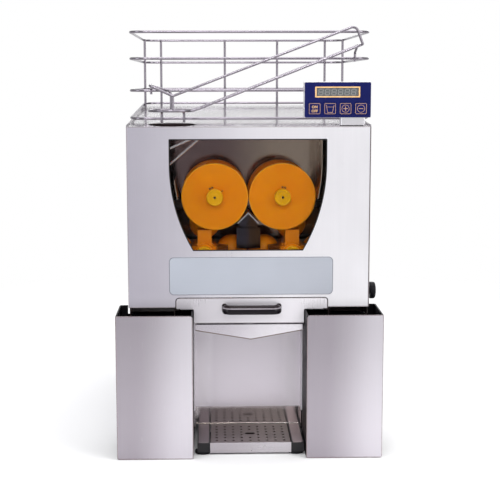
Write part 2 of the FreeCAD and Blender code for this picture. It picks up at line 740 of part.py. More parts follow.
# gearbox: cast box with four front and rear bearing seats, bosses against the chamber wall
gx, gz0, gz1 = 145.0, 290.0, 562.0
b = new_body("gearbox")
pad_xz(b, E(-104.0, "(0-104)"), E(-24.0, "(0-24)"), [rrect(E(-gx, "(0-%.1f)" % gx), E(gx, "%.1f" % gx), E(gz0, "%.1f" % gz0),
                                                      E(gz1, "%.1f" % gz1), E(18.0, "18"))])
inner = new_body("gearbox_space")
pad_xz(inner, E(-96.0, "(0-96)"), E(-32.0, "(0-32)"), [rrect(E(-gx + 6, "(6-%.1f)" % gx), E(gx - 6, "(%.1f-6)" % gx),
                                                        E(gz0 + 6, "%.1f" % (gz0 + 6)), E(gz1 - 6, "%.1f" % (gz1 - 6)), E(12.0, "12"))])
bores = [pcyl(16.0, ax, -106.0, az, 84.0, "y") for ax, az in AXES.values()]
bores.append(pcyl(12.0, px, -34.0, pz, 12.0, "y"))
bosses = [pcyl(7.0, x, -110.5, z, 7.0, "y") for x, z in ((-132.0, 305.0), (132.0, 305.0), (-132.0, 547.0), (132.0, 547.0))]
keep(cut(fuse([b] + bosses), [inner] + bores), "gearbox_housing")

# ball bearings in both walls and a bush for the pinion
brg = []
for ax, az in AXES.values():
    for y in (-104.0, -32.0):
        brg.append(cut(pcyl(16.0, ax, y, az, 8.0, "y"), [pcyl(shaft_rad + 0.06, ax, y - 1.0, az, 10.0, "y")]))
brg.append(cut(pcyl(12.0, px, -32.0, pz, 8.0, "y"), [pcyl(7.06, px, -33.0, pz, 10.0, "y")]))
keep(group(brg), "shaft_bearings")

# lip seals on the chamber side
seals = []
for ax, az in AXES.values():
    seals.append(cut(fuse([pcyl(16.0, ax, -116.5, az, 4.5, "y"), pcyl(11.9, ax, -112.5, az, 2.5, "y")]),
                     [pcyl(shaft_rad + 0.08, ax, -118.0, az, 9.0, "y")]))
keep(group(seals), "shaft_seals")

# gear motor flanged to the gearbox
b = new_body("motor")
bm = [(7.06, E(-24.0, "(0-24)")), (40.0, E(-24.0, "(0-24)")), (40.0, E(-14.0, "(0-14)")), (46.0, E(-10.0, "(0-10)")),
      (46.0, 110.0), (40.0, 116.0), (40.0, 140.0), (36.0, 144.0), (0.0, 144.0), (0.0, 12.0), (7.06, 12.0)]
revolve(b, E(px, "%.6f" % px), E(pz, "%.6f" % pz), bm)
keep(b, "motor_body")

# inverted V knife on its holder
b = new_body("knife")
pad_xz(b, drum_ym - 38.0, drum_ym + 38.0, [[(0.0, 430.0), (-19.5, 410.5), (-18.1, 409.1), (0.0, 427.2), (18.1, 409.1), (19.5, 410.5)]])
keep(b, "knife_blade")
b = new_body("knife_holder")
pad_xz(b, drum_ym - 43.0, wall_y, [[(0.0, 427.1), (-17.0, 410.1), (-17.0, 407.0), (-8.0, 392.0), (8.0, 392.0), (17.0, 407.0), (17.0, 410.1)]])
pad_xy(b, E(366.0, "366"), E(403.0, "403"), [[(0.0, -236.0), (21.5, -228.0), (21.5, -223.0), (-21.5, -223.0), (-21.5, -228.0)]])
keep(b, "knife_holder")

# curved guards inside the window's sides, standing on the chamber wall
liners = []
for side, zt_ in ((-1.0, 490.0), (1.0, 572.0)):
    b = new_body("liner")
    cxl = win_cx + side * (win_hw - win_rad)
    r1, r2 = win_rad.v - 8.0, win_rad.v - 6.8
    zb_ = 456.0
    pts = []
    for r, rev in ((r1, False), (r2, True)):
        arc = []
        for i in range(9):
            z = zb_ + (min(zt_, 520.0) - zb_) * i / 8.0
            arc.append((cxl.v + side * math.sqrt(r * r - (win_zk.v - z) ** 2), z))
        if zt_ > 520.0:
            arc.append((cxl.v + side * r, zt_))
        pts += arc[::-1] if rev else arc
    if side < 0:
        pts = pts[::-1]
    pad_xz(b, E(-243.0, "(0-243)"), wall_y, [pts])
    liners.append(b)
keep(group(liners), "chamber_liners")

# peel ejectors: fingers in the drum grooves, on posts from the chamber wall
ej = []
for s in (-1, 1):
    b = new_body("ejector")
    pts = [(s * 94.5, 452.5), (s * 95.5, 447.5), (s * 120.0, 434.0), (s * 136.0, 433.0), (s * 138.0, 447.0), (s * 124.0, 449.0)]
    if s > 0:
        pts = pts[::-1]
    pad_xz(b, drum_ym - 3.0, drum_ym + 3.0, [pts])
    ej.append(fuse([b, pcyl(5.0, s * 131.0, drum_ym, 440.0, wall_y - drum_ym, "y")]))
keep(group(ej), "peel_ejectors")

# wire guide that keeps the fruit off the window
gw = 1.9
xe, ze1, ze2 = -172.0, 533.0, 492.0
front = -246.0
parts = [rod([(xe, wall_y.v, ze1), (xe, front, ze1), (-67.6, front, 578.5)], gw, 8.0),
         rod([(xe - 0.0, wall_y.v, ze2), (xe, front, ze2), (-71.6, front + 3.2, 577.5)], gw, 8.0),
         rod([(xe - 3.0, front + 30.0, ze2 - 2.0), (xe - 3.0, front + 30.0, ze1 + 8.0)], gw, 5.0)]
keep(feature(weld(parts), "guide"), "feed_guide")

# ================================================================ fruit basket
rb = rail_d.v / 2
x0, x1, y0, y1 = bk_x0.v, bk_x1.v, bk_y0.v, bk_y1.v
sl = slope.v


def zt(y):
    return cov_z1.v + (y - cov_y.v) * sl


rails = []
for z, tilt in ((rail_z1.v, sl), (rail_z2.v, 0.0), (rail_z3.v, 0.0), (rail_z4.v, 0.0)):
    rails.append(ring_loop([(x0, y0, z), (x1, y0, z), (x1, y1, z + (y1 - y0) * tilt), (x0, y1, z + (y1 - y0) * tilt)], rb, 26.0))
posts = []
for px_, py_ in ((x0 + rb + 1.6, 232.0), (x1 - rb - 1.6, 232.0), (-177.0, y1 - rb - 1.6), (-36.0, y1 - rb - 1.6),
                 (80.0, y1 - rb - 1.6), (186.0, y1 - rb - 1.6)):
    zb = zt(py_ + 2.6) + 0.1
    if abs(px_) > 213.0:
        zb = rail_z1.v + (py_ - y0) * sl - 2.0
    posts.append(Part.makeCylinder(2.5, rail_z4.v - zb + 1.0, V(px_, py_, zb), V(0, 0, 1)))
keep(feature(weld(rails + posts), "basket"), "fruit_basket")

# ================================================================ feed ramp
rr = ramp_d.v / 2
hx, hy, rz, rg = hole_x.v, hole_y.v, ring_z.v, ring_rad.v
lo_f, lo_b, gu = -245.0, -185.0, -252.0
ramp = [rod([(hx + 34.6, lo_f, rz), (-86.0, lo_f, 617.4), (201.0, lo_f, 729.0), (201.0, lo_b, 729.0), (-86.0, lo_b, 617.4),
             (hx + 34.6, lo_b, rz)], rr, 9.0),
        rod([(200.0, lo_f - 2.0, 728.0), (187.0, gu, 760.5), (-133.0, gu, 639.0), (-173.0, gu, 657.0), (-176.0, -178.0, 657.0),
             (-139.0, -176.0, 647.0), (-139.0, -174.2, rz + rr + 0.1)], rr, 10.0),
        rod([(-133.0, gu - 0.6, 638.0), (-133.0, hy - rg, rz + rr + 0.1)], rr, 5.0),
        rod([(198.0, lo_b - 4.0, 727.8), (198.0, -154.0, 716.5), (198.0, -154.0, 700.0)], rr, 4.5),
        rod([(-176.0, -186.0, 657.0), (-176.0, -154.0, 659.5), (-176.0, -154.0, 641.0)], rr, 4.5)]
keep(feature(weld(ramp), "ramp"), "orange_ramp")
circ = Part.makeTorus(rg, rr, V(hx, hy, rz), V(0, 0, 1))
legs = []
for k in (66.0, 114.0):
    a = math.radians(k)
    cx, cy = math.cos(a), math.sin(a)
    yy = hy + 50.0 * cy
    legs.append(rod([(hx + rg * cx, hy + rg * cy, rz), (hx + 50.0 * cx, yy, rz - 5.0), (hx + 50.0 * cx, yy, zt(yy + 2.3) + 0.4)], rr, 4.6))
ringshape = circ
if ringshape.ShapeType != "Solid":
    ringshape = Part.Solid(Part.Shell(circ.Faces))
keep(feature(weld([ringshape] + legs), "ring"), "feed_ring")

# ================================================================ control box
b = new_body("control")
bk = box_y + 26.0
pad_yz(b, box_x0, box_x1, [[(box_y, box_z0), (bk, box_z0 + 1.0), (bk, box_z1 + 0.5), (box_y, box_z1)]])
cut_xz(b, box_y - 1.0, bk - 1.6, [rect(box_x0 + 1.5, box_x1 - 1.5, box_z0 + 2.6, box_z1 - 1.5)])
pad_xy(b, E(587.7, "587.7"), box_z0 + 2.0, [rrect(E(162.0, "162"), E(206.0, "206"), E(-247.0, "(0-247)"), E(-226.5, "(0-226.5)"), E(3.0, "3"))])
keep(b, "control_housing")

key_z0, key_z1 = 606.7, 626.7
keys = [(104.9, 126.5), (132.1, 153.7), (159.3, 180.9), (186.5, 208.1)]
b = new_body("keypad")
fy = box_y - 2.0
loops = [rrect(E(kx0 - 0.3, "%.2f" % (kx0 - 0.3)), E(kx1 + 0.3, "%.2f" % (kx1 + 0.3)), E(key_z0 - 0.3, "%.2f" % (key_z0 - 0.3)),
               E(key_z1 + 0.3, "%.2f" % (key_z1 + 0.3)), E(2.3, "2.3")) for kx0, kx1 in keys]
pad_xz(b, fy, box_y, [rrect(box_x0 + 0.3, box_x1 - 0.3, box_z0 + 0.3, box_z1 - 0.3, E(2.5, "2.5"))])
cut_xz(b, fy - 1.0, box_y + 1.0, loops + [rrect(E(119.4, "119.4"), E(192.6, "192.6"), E(639.0, "639"), E(652.4, "652.4"), E(1.0, "1"))])
keep(b, "keypad_face")
b = new_body("lcd")
pad_xz(b, fy + 0.4, box_y + 2.5, [rrect(E(119.4, "119.4"), E(192.6, "192.6"), E(639.0, "639"), E(652.4, "652.4"), E(1.0, "1"))])
keep(b, "lcd_screen")
for (kx0, kx1), name in zip(keys, ("button_on_off", "button_glass", "button_plus", "button_minus")):
    b = new_body("key")
    pad_xz(b, fy - 0.8, box_y + 1.0, [rrect(E(kx0, "%.2f" % kx0), E(kx1, "%.2f" % kx1), E(key_z0, "%.2f" % key_z0), E(key_z1, "%.2f" % key_z1), E(2.0, "2"))])
    keep(b, name)

# ================================================================ front cover
b = new_body("cover")
pad_xz(b, cov_y, cov_y + skin, [rect(-1.0 * body_hw, body_hw, cov_z0, cov_z1)])
for x0_ in (-1.0 * body_hw, body_hw - skin):
    pad_xy(b, cov_z0, cov_z1 - 2.2, [rect(x0_, x0_ + skin, cov_y + 0.5, cov_y + 8.0)])
wl, wr = win_cx - win_hw, win_cx + win_hw
cut_xz(b, cov_y - 2.0, cov_y + skin + 2.0,
       [[(wl, win_zk, win_rad), (win_cx - win_hb, win_z0), (win_cx + win_hb, win_z0, win_rad), (wr, win_zk),
         (wr, win_z1 - 2.0, E(2.0, "2")), (wr - 2.0, win_z1), (wl + 2.0, win_z1, E(2.0, "2")), (wl, win_z1 - 2.0)]])
nx0, nx1, nz1 = dw_x0 - 1.5, dw_x1 + 1.5, dw_z1 + 1.5
cut_xz(b, cov_y - 2.0, cov_y + skin + 2.0,
       [[(nx0, cov_z0 - 1.0), (nx1, cov_z0 - 1.0), (nx1, nz1 - 7.0, E(7.0, "7")), (nx1 - 7.0, nz1), (nx0 + 7.0, nz1, E(7.0, "7")),
         (nx0, nz1 - 7.0)]])
keep(b, "cover_panel")

b = new_body("window")
pad_xz(b, cov_y + 1.6, cov_y + 4.4,
       [[(wl - 11.0, win_zk - 60.0), (win_cx - win_hb - 22.0, win_z0 - 11.0), (win_cx + win_hb + 22.0, win_z0 - 11.0),
         (wr + 11.0, win_zk - 60.0), (wr + 11.0, win_z1 + 11.0), (wl - 11.0, win_z1 + 11.0)]])
keep(b, "cover_window")

b = new_body("label")
pad_xz(b, cov_y - 1.4, cov_y, [rrect(lab_x0, lab_x1, lab_z0, lab_z1, E(8.0, "8"))])
keep(b, "label_plate")

# ================================================================ filter drawer
b = new_body("drawer")
dy0 = cov_y
# front sheet, wide above and narrow below
pad_xz(b, dy0, dy0 + 1.5,
       [[(-dw_hn, dw_z0), (dw_hn, dw_z0), (dw_hn, 257.6, E(-4.0, "(0-4)")), (dw_hn + 4.0, 261.6), (dw_x1, 261.6),
         (dw_x1, dw_z1 - 6.0, E(6.0, "6")), (dw_x1 - 6.0, dw_z1), (dw_x0 + 6.0, dw_z1, E(6.0, "6")), (dw_x0, dw_z1 - 6.0),
         (dw_x0, 261.6), (-dw_hn - 4.0, 261.6, E(-4.0, "(0-4)")), (-dw_hn, 257.6)]])
yb_ = wall_y - 8.0
pad_xy(b, E(236.0, "236"), E(261.0, "261"), [rect(-96.0, 96.0, dy0 + 1.0, yb_)])
pad_xy(b, E(260.0, "260"), E(275.5, "275.5"), [rect(-123.5, 133.0, dy0 + 1.0, yb_)])
cut_xy(b, E(261.2, "261.2"), E(290.0, "290"), [rect(-122.3, 131.8, dy0 + 1.5, yb_ - 1.2)])
cut_xy(b, E(237.2, "237.2"), E(262.0, "262"), [rect(-94.8, 94.8, dy0 + 1.5, yb_ - 1.2)])
cut_xy(b, E(230.0, "230"), E(240.0, "240"), [], [(3.5, -228.0, 11.0)])
keep(b, "drawer_tray")

# strainer plate resting on the drawer's step
b = new_body("strainer")
pad_xy(b, E(261.25, "261.25"), E(262.45, "262.45"), [rect(-118.0, 127.5, dy0 + 2.5, yb_ - 2.2)])
ny = 13
circ_ = [(-108.0 + 14.0 * i, -248.0, 2.0) for i in range(17)]
pk = cut_xy(b, E(258.0, "258"), E(266.0, "266"), [], circ_)
doc.recompute()
pat = b.newObject("PartDesign::LinearPattern", nm("strainer_rows"))
pat.Originals = [pk]
pat.Direction = ([f for f in b.Origin.OriginFeatures if f.Role == "Y_Axis"][0], [""])
pat.Length = 110.0
pat.Occurrences = 11
b.Tip = pat
keep(b, "drawer_strainer")

# bow handle: two legs and a flat bar with rounded edges
b = new_body("handle")
hx0, hx1, hyf = -48.6, 58.1, -283.0
pad_xy(b, E(254.0, "254"), E(271.2, "271.2"),
       [[(hx0, dy0), (hx0, hyf + 13.0, E(13.0, "13")), (hx0 + 13.0, hyf), (hx1 - 13.0, hyf, E(13.0, "13")), (hx1, hyf + 13.0),
         (hx1, dy0), (hx1 - 8.0, dy0), (hx1 - 8.0, hyf + 13.0, E(-5.0, "(0-5)")), (hx1 - 13.0, hyf + 8.0),
         (hx0 + 13.0, hyf + 8.0, E(-5.0, "(0-5)")), (hx0 + 8.0, hyf + 13.0), (hx0 + 8.0, dy0)]])
doc.recompute()
tip = b.Tip
rims = []
for i, e in enumerate(tip.Shape.Edges):
    z0, z1 = e.BoundBox.ZMin, e.BoundBox.ZMax
    if z1 - z0 < 0.01 and e.BoundBox.YMin < dy0.v - 0.5:
        rims.append("Edge%d" % (i + 1))
fl = b.newObject("PartDesign::Fillet", nm("soft"))
fl.Base = (tip, rims)
fl.Radius = 3.4
keep(b, "drawer_handle")

# V-fronted juice tray with the spout hole at the lowest point
b = new_body("juice")
jy0, jy1 = -262.0, -178.0
zt_, zs, ztip = 232.8, 222.0, 205.5
pad_xz(b, jy0, jy1, [[(-96.0, zt_), (-96.0, zs), (3.5, ztip), (96.0, zs), (96.0, zt_)]])
cut_xz(b, jy0 + 1.2, jy1 - 1.2, [[(-94.8, zt_ + 3.0), (-94.8, zs + 1.1), (3.5, ztip + 1.3), (94.8, zs + 1.1), (94.8, zt_ + 3.0)]])
cut_xy(b, E(195.0, "195"), E(215.0, "215"), [], [(3.5, -228.0, 9.0)])
keep(b, "juice_tray")

# ================================================================ drip tray
b = new_body("drip")
pad_xy(b, E(7.3, "7.3"), E(20.4, "20.4"), [rect(tray_x0, tray_x1, tray_y0 + 1.0, tray_y1)])
pad_xz(b, tray_y0, tray_y0 + 1.2, [rect(tray_x0 - 1.0, tray_x1 + 1.0, 3.2, 21.9)])
cut_xy(b, E(8.5, "8.5"), E(30.0, "30"), [rect(tray_x0 + 1.2, tray_x1 - 1.2, tray_y0 + 2.4, tray_y1 - 1.2)])
keep(b, "drip_tray")

b = new_body("grille")
pad_xy(b, E(20.5, "20.5"), E(22.0, "22"), [rect(tray_x0, tray_x1, tray_y0 + 1.4, tray_y1)])
cs = []
yr = tray_y0 + 12.8
for j in range(6):
    for i in range(9):
        if i == 4 and j in (2, 3):
            continue
        cs.append((2.0 + drip_pitch * (i - 4), yr + drip_row * j, drip_rad))
sx, sy = E(2.3, "2.3"), yr + drip_row * 2.5
cut_xy(b, E(18.0, "18"), E(24.0, "24"), [rrect(sx - 9.5, sx + 9.5, sy - 5.0, sy + 5.0, E(4.95, "4.95"))], cs)
keep(b, "drip_grille")

# ================================================================ peel bins
for side, tag in ((-1, "left"), (1, "right")):
    def xx(a, c):
        return (-1.0 * c, -1.0 * a) if side < 0 else (a, c)
    bx0, bx1 = xx(bin_in, half_w)
    b = new_body("bin")
    fy0 = -1.0 * half_d + 1.1
    pad_xy(b, 0.0, bin_z - 1.0, [rrect(bx0, bx1, fy0, bin_back, E(5.0, "5"))])
    cut_xy(b, E(3.0, "3"), bin_z + 3.0, [rrect(bx0 + 2.5, bx1 - 2.5, fy0 + 2.5, bin_back - 2.5, E(3.0, "3"))])
    c0, c1 = xx(E(121.0, "121"), E(220.0, "220"))
    cut_xz(b, bin_back - 6.0, bin_back + 3.0, [rect(c0, c1, bin_z - 17.0, bin_z + 5.0)])
    keep(b, "bin_" + tag)
    b = new_body("bin_front")
    f0, f1 = xx(bin_in, half_w)
    fz0 = 0.6
    if side < 0:
        loop = [(f0 + 3.0, fz0), (f1 - 3.0, fz0, E(3.0, "3")), (f1, fz0 + 3.0), (f1, bin_z - 6.0, E(6.0, "6")), (f1 - 6.0, bin_z),
                (f0 + 2.0, bin_z, E(2.0, "2")), (f0, bin_z - 2.0), (f0, fz0 + 3.0, E(3.0, "3"))]
    else:
        loop = [(f0 + 3.0, fz0), (f1 - 3.0, fz0, E(3.0, "3")), (f1, fz0 + 3.0), (f1, bin_z - 2.0, E(2.0, "2")), (f1 - 2.0, bin_z),
                (f0 + 6.0, bin_z, E(6.0, "6")), (f0, bin_z - 6.0), (f0, fz0 + 3.0, E(3.0, "3"))]
    pad_xz(b, -1.0 * half_d, -1.0 * half_d + 1.1, [loop])
    keep(b, "bin_front_" + tag)

# round knob on a collar at the right side
b = new_body("side_knob")
sk = sketch(b, "XZ_Plane", -knob_y, [[(213.6, knob_z), (213.6, knob_z + 4.0), (215.3, knob_z + 4.0), (215.3, knob_z + 7.0), (219.0, knob_z + 7.0),
                                      (219.0, knob_z + 14.4), (219.8, knob_z + 15.2), (225.4, knob_z + 15.2), (227.6, knob_z + 14.6),
                                      (229.0, knob_z + 13.0), (229.6, knob_z + 10.5), (229.6, knob_z)]])
f = b.newObject("PartDesign::Revolution", nm("turned"))
f.Profile = sk
g = sk.addGeometry(Part.LineSegment(V(200, knob_z, 0), V(260, knob_z, 0)), True)
sk.addConstraint(Sketcher.Constraint("Horizontal", g))
sk.addConstraint(Sketcher.Constraint("DistanceY", -1, 1, g, 1, knob_z))
f.ReferenceAxis = (sk, ["Axis0"])
f.Angle = 360.0
keep(b, "side_knob")

# ================================================================ checks and files
doc.recompute()
bad = []
for o in doc.Objects:
    if "Invalid" in o.State or "Error" in o.State:
        bad.append("%s (%s) %s" % (o.Name, o.Label, o.State))
seen = set()
for o, name in nodes:
    s = o.Shape
    if s.isNull() or not s.isValid() or not s.Solids:
        bad.append("%s: null or invalid" % name)
    if name in seen:
        bad.append("%s: twice" % name)
    seen.add(name)
if bad:
    for m in bad:
        print("BAD", m)
    raise SystemExit(1)
for o, name in nodes:
    bb = o.Shape.BoundBox
    print("%-22s solids %2d vol %9.0f  X %7.1f %7.1f  Y %7.1f %7.1f  Z %6.1f %6.1f" % (
        name, len(o.Shape.Solids), o.Shape.Volume, bb.XMin, bb.XMax, bb.YMin, bb.YMax, bb.ZMin, bb.ZMax))
    o.Shape.exportStep("parts/%s.step" % name)
print("nodes", len(nodes))
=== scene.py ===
import math
import random

import bmesh
import bpy
from mathutils import Matrix, Vector


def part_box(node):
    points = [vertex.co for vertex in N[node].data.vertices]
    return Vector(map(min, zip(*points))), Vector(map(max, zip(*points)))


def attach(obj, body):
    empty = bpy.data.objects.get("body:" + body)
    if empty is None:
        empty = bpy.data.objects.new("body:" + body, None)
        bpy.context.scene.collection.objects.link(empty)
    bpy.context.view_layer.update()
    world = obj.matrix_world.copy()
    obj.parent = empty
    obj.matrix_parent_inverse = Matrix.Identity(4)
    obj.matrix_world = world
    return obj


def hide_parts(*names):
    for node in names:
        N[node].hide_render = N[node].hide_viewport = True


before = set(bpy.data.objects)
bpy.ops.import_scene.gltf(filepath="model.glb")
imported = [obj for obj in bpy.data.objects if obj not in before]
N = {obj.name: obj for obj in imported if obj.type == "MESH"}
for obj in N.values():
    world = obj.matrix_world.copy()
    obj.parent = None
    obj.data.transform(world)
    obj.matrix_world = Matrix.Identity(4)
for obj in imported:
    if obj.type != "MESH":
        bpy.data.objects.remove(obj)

random.seed(11)
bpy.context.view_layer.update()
scene = bpy.context.scene
scene.view_settings.view_transform = "Standard"
scene.view_settings.look = "None"
scene.view_settings.exposure = 0.0
scene.view_settings.gamma = 1.0
MM = 0.001


# ---------------------------------------------------------------- camera
def place_camera():
    data = bpy.data.cameras.new("camera")
    data.sensor_width = 36.0
    data.lens = 79.85
    data.shift_x = 0.02
    data.shift_y = -0.04
    data.clip_start, data.clip_end = 0.05, 100.0
    obj = bpy.data.objects.new("camera", data)
    scene.collection.objects.link(obj)
    yaw, tilt, roll = math.radians(1.394), math.radians(7.65), math.radians(-0.077)
    forward = Vector((math.sin(yaw) * math.cos(tilt), math.cos(yaw) * math.cos(tilt), -math.sin(tilt)))
    right = Vector((math.cos(yaw), -math.sin(yaw), 0.0))
    up = right.cross(forward)
    r2 = right * math.cos(roll) + up * math.sin(roll)
    u2 = up * math.cos(roll) - right * math.sin(roll)
    m = Matrix((
        (r2.x, u2.x, -forward.x, -0.0633),
        (r2.y, u2.y, -forward.y, -2.2070),
        (r2.z, u2.z, -forward.z, 0.6650),
        (0, 0, 0, 1),
    ))
    obj.matrix_world = m
    scene.camera = obj


place_camera()


# ---------------------------------------------------------------- material helpers
class Mat:
    """A material under construction: one Principled shader and short calls for the nodes behind it."""

    def __init__(self, name):
        self.m = bpy.data.materials.new(name)
        self.m.use_nodes = True
        self.nt = self.m.node_tree
        self.nt.nodes.clear()
        self.out = self.nt.nodes.new("ShaderNodeOutputMaterial")
        self.p = self.nt.nodes.new("ShaderNodeBsdfPrincipled")
        self.nt.links.new(self.p.outputs[0], self.out.inputs[0])
        self.tc = self.nt.nodes.new("ShaderNodeTexCoord")
        self._sep = None

    def link(self, a, b):
        self.nt.links.new(a, b)

    def feed(self, socket, value):
        if hasattr(value, "is_output"):
            self.nt.links.new(value, socket)
        else:
            socket.default_value = value

    def set(self, **kw):
        for k, v in kw.items():
            self.feed(self.p.inputs[k.replace("_", " ")], v)

    def at(self, scale=(1, 1, 1), rot=(0, 0, 0), loc=(0, 0, 0)):
        n = self.nt.nodes.new("ShaderNodeMapping")
        n.inputs["Scale"].default_value = scale
        n.inputs["Rotation"].default_value = rot
        n.inputs["Location"].default_value = loc
        self.link(self.tc.outputs["Object"], n.inputs["Vector"])
        return n.outputs[0]

    def xyz(self):
        if self._sep is None:
            self._sep = self.nt.nodes.new("ShaderNodeSeparateXYZ")
            self.link(self.tc.outputs["Object"], self._sep.inputs[0])
        return self._sep.outputs

    def noise(self, vec, scale=1.0, detail=2.0, rough=0.5, distort=0.0):
        n = self.nt.nodes.new("ShaderNodeTexNoise")
        n.inputs["Scale"].default_value = scale
        n.inputs["Detail"].default_value = detail
        n.inputs["Roughness"].default_value = rough
        n.inputs["Distortion"].default_value = distort
        self.link(vec, n.inputs["Vector"])
        return n.outputs[0]

    def cells(self, vec, scale=1.0, feature="F1"):
        n = self.nt.nodes.new("ShaderNodeTexVoronoi")
        n.feature = feature
        n.inputs["Scale"].default_value = scale
        self.link(vec, n.inputs["Vector"])
        return n.outputs["Distance"]

    def math(self, op, a, b=None, c=None, clamp=False):
        n = self.nt.nodes.new("ShaderNodeMath")
        n.operation = op
        n.use_clamp = clamp
        self.feed(n.inputs[0], a)
        if b is not None:
            self.feed(n.inputs[1], b)
        if c is not None:
            self.feed(n.inputs[2], c)
        return n.outputs[0]

    def span(self, value, lo, hi, out_lo=0.0, out_hi=1.0, smooth=False):
        n = self.nt.nodes.new("ShaderNodeMapRange")
        n.clamp = True
        if smooth:
            n.interpolation_type = "SMOOTHSTEP"
        self.feed(n.inputs["Value"], value)
        n.inputs["From Min"].default_value = lo
        n.inputs["From Max"].default_value = hi
        n.inputs["To Min"].default_value = out_lo
        n.inputs["To Max"].default_value = out_hi
        return n.outputs[0]

    def ramp(self, fac, stops, mode="LINEAR"):
        n = self.nt.nodes.new("ShaderNodeValToRGB")
        n.color_ramp.interpolation = mode
        e = n.color_ramp.elements
        while len(e) < len(stops):
            e.new(0.5)
        for item, (pos, col) in zip(e, stops):
            item.position = pos
            item.color = (*col, 1.0)
        self.feed(n.inputs[0], fac)
        return n.outputs[0]

    def mix(self, fac, a, b, blend="MIX"):
        n = self.nt.nodes.new("ShaderNodeMix")
        n.data_type = "RGBA"
        n.blend_type = blend
        self.feed(n.inputs[0], fac)
        for sock, v in ((n.inputs[6], a), (n.inputs[7], b)):
            self.feed(sock, v if hasattr(v, "is_output") else (*v, 1.0))
        return n.outputs[2]

    def grey(self, value):
        n = self.nt.nodes.new("ShaderNodeCombineColor")
        for i in range(3):
            self.feed(n.inputs[i], value)
        return n.outputs[0]

    def bump(self, height, strength=0.2, distance=0.0005, normal=None):
        n = self.nt.nodes.new("ShaderNodeBump")
        n.inputs["Strength"].default_value = strength
        n.inputs["Distance"].default_value = distance
        self.link(height, n.inputs["Height"])
        if normal is not None:
            self.link(normal, n.inputs["Normal"])
        return n.outputs[0]

    def edge(self, lo, hi, axes, width):
        """1 within width of the borders of a box on the given axes, 0 inside, broken up by noise."""
        c = self.xyz()
        best = None
        for a in axes:
            for d in (self.math("SUBTRACT", c[a], lo[a]), self.math("SUBTRACT", hi[a], c[a])):
                best = d if best is None else self.math("MINIMUM", best, d)
        rag = self.noise(self.at((90, 90, 90)), 1.0, 3.0, 0.6)
        best = self.math("SUBTRACT", best, self.math("MULTIPLY", rag, width * 0.8))
        return self.span(best, 0.0, width, 1.0, 0.0, smooth=True)


GRAIN = {
    "x": (9.0, 900.0, 900.0),
    "y": (900.0, 9.0, 900.0),
    "z": (900.0, 900.0, 9.0),
}


def steel(name, tone, rough=0.26, grain="x", line=0.05, smudge=0.5, bump=0.12, fade=None, border=None, stain=0.0, metal=1.0,
          rim=(0.93, 0.92, 0.94), rim_mix=0.35, haze=None, matte=None, streak=1.0):
    """Sheet steel. tone is the colour, or two colours that fade=(axis, from, to) runs between; grain is the way the
    brushing runs, or None for a polished sheet; border=(lo, hi, axes, width) paints the rim colour in a band along the
    edges, a painted highlight where the rim colour is pale and painted shade where it is dark."""
    k = Mat(name)
    if fade:
        axis, a, b, slant = fade
        c = k.xyz()
        along = k.math("ADD", c[axis], k.math("MULTIPLY", c[2 if axis != 2 else 0], slant))
        t = k.span(along, a, b, smooth=True)
        colour = k.mix(t, tone[0], tone[1])
    else:
        colour = k.mix(0.5, tone, tone)
    blot = k.noise(k.at((7, 7, 7)), 1.0, 5.0, 0.6)
    colour = k.mix(1.0, colour, k.grey(k.span(blot, 0.3, 0.7, 1.0 - 0.05 * smudge, 1.0 + 0.02 * smudge)), "MULTIPLY")
    lines = None
    if grain:
        lines = k.noise(k.at(GRAIN[grain]), 1.0, 4.0, 0.72)
        wide = k.noise(k.at(tuple(v * (0.18 if v > 100 else 0.4) for v in GRAIN[grain])), 1.0, 3.0, 0.6)
        both = k.math("ADD", k.math("MULTIPLY", lines, 0.65), k.math("MULTIPLY", wide, 0.35))
        colour = k.mix(1.0, colour, k.grey(k.span(both, 0.3, 0.7, 1.0 - line, 1.0 + line)), "MULTIPLY")
    else:
        both = k.noise(k.at((420, 420, 420)), 1.0, 3.0, 0.6)
    # fine handling scratches, mostly along one slanting direction
    scr = k.noise(k.at((45, 45, 1500) if grain != "z" else (1500, 45, 45), rot=(0.35, 0.5, 0.22)), 1.0, 1.0, 0.4)
    scr = k.span(scr, 0.735, 0.78)
    gate = k.span(k.noise(k.at((14, 14, 14), loc=(3.1, 1.7, 0.4)), 1.0, 2.0), 0.5, 0.62)
    scr = k.math("MULTIPLY", scr, gate)
    colour = k.mix(k.math("MULTIPLY", scr, 0.22 * streak), colour, (0.95, 0.95, 0.96))
    r = k.span(both, 0.25, 0.75, rough - 0.045 * streak, rough + 0.055 * streak)
    r = k.math("ADD", r, k.span(blot, 0.35, 0.72, -0.02 * smudge, 0.07 * smudge))
    r = k.math("ADD", r, k.math("MULTIPLY", scr, 0.08 * streak))
    if stain:
        drop = k.cells(k.at((60, 60, 60)), 1.0)
        patch_mask = k.math("MULTIPLY", k.span(drop, 0.0, 0.32, 1.0, 0.0, True), k.span(blot, 0.5, 0.6))
        r = k.math("ADD", r, k.math("MULTIPLY", patch_mask, 0.12 * stain))
        colour = k.mix(k.math("MULTIPLY", patch_mask, 0.25 * stain), colour, (0.45, 0.40, 0.36))
    # painted edge light: a band in the rim colour along the edges, a highlight when pale, shade when dark
    if border:
        e = k.edge(*border)
        colour = k.mix(k.math("MULTIPLY", e, rim_mix), colour, rim)
        r = k.math("SUBTRACT", r, k.math("MULTIPLY", e, 0.05))
    if haze:
        axis, a, b, extra = haze
        r = k.math("ADD", r, k.span(k.xyz()[axis], a, b, 0.0, extra, smooth=True))
    if matte:
        axis, a, b, va, vb = matte
        value = k.math("ABSOLUTE", k.xyz()[0]) if axis == "x" else k.xyz()[axis]
        metal = k.span(value, a, b, va, vb, smooth=True)
    k.set(Base_Color=colour, Metallic=metal, Roughness=k.math("MAXIMUM", r, 0.03))
    h = both if grain is None else lines
    n = k.bump(h, bump, 0.00012)
    n = k.bump(k.noise(k.at((5, 5, 5), loc=(9, 2, 4)), 1.0, 1.0), 0.10, 0.0012, n)
    k.set(Normal=n)
    return k


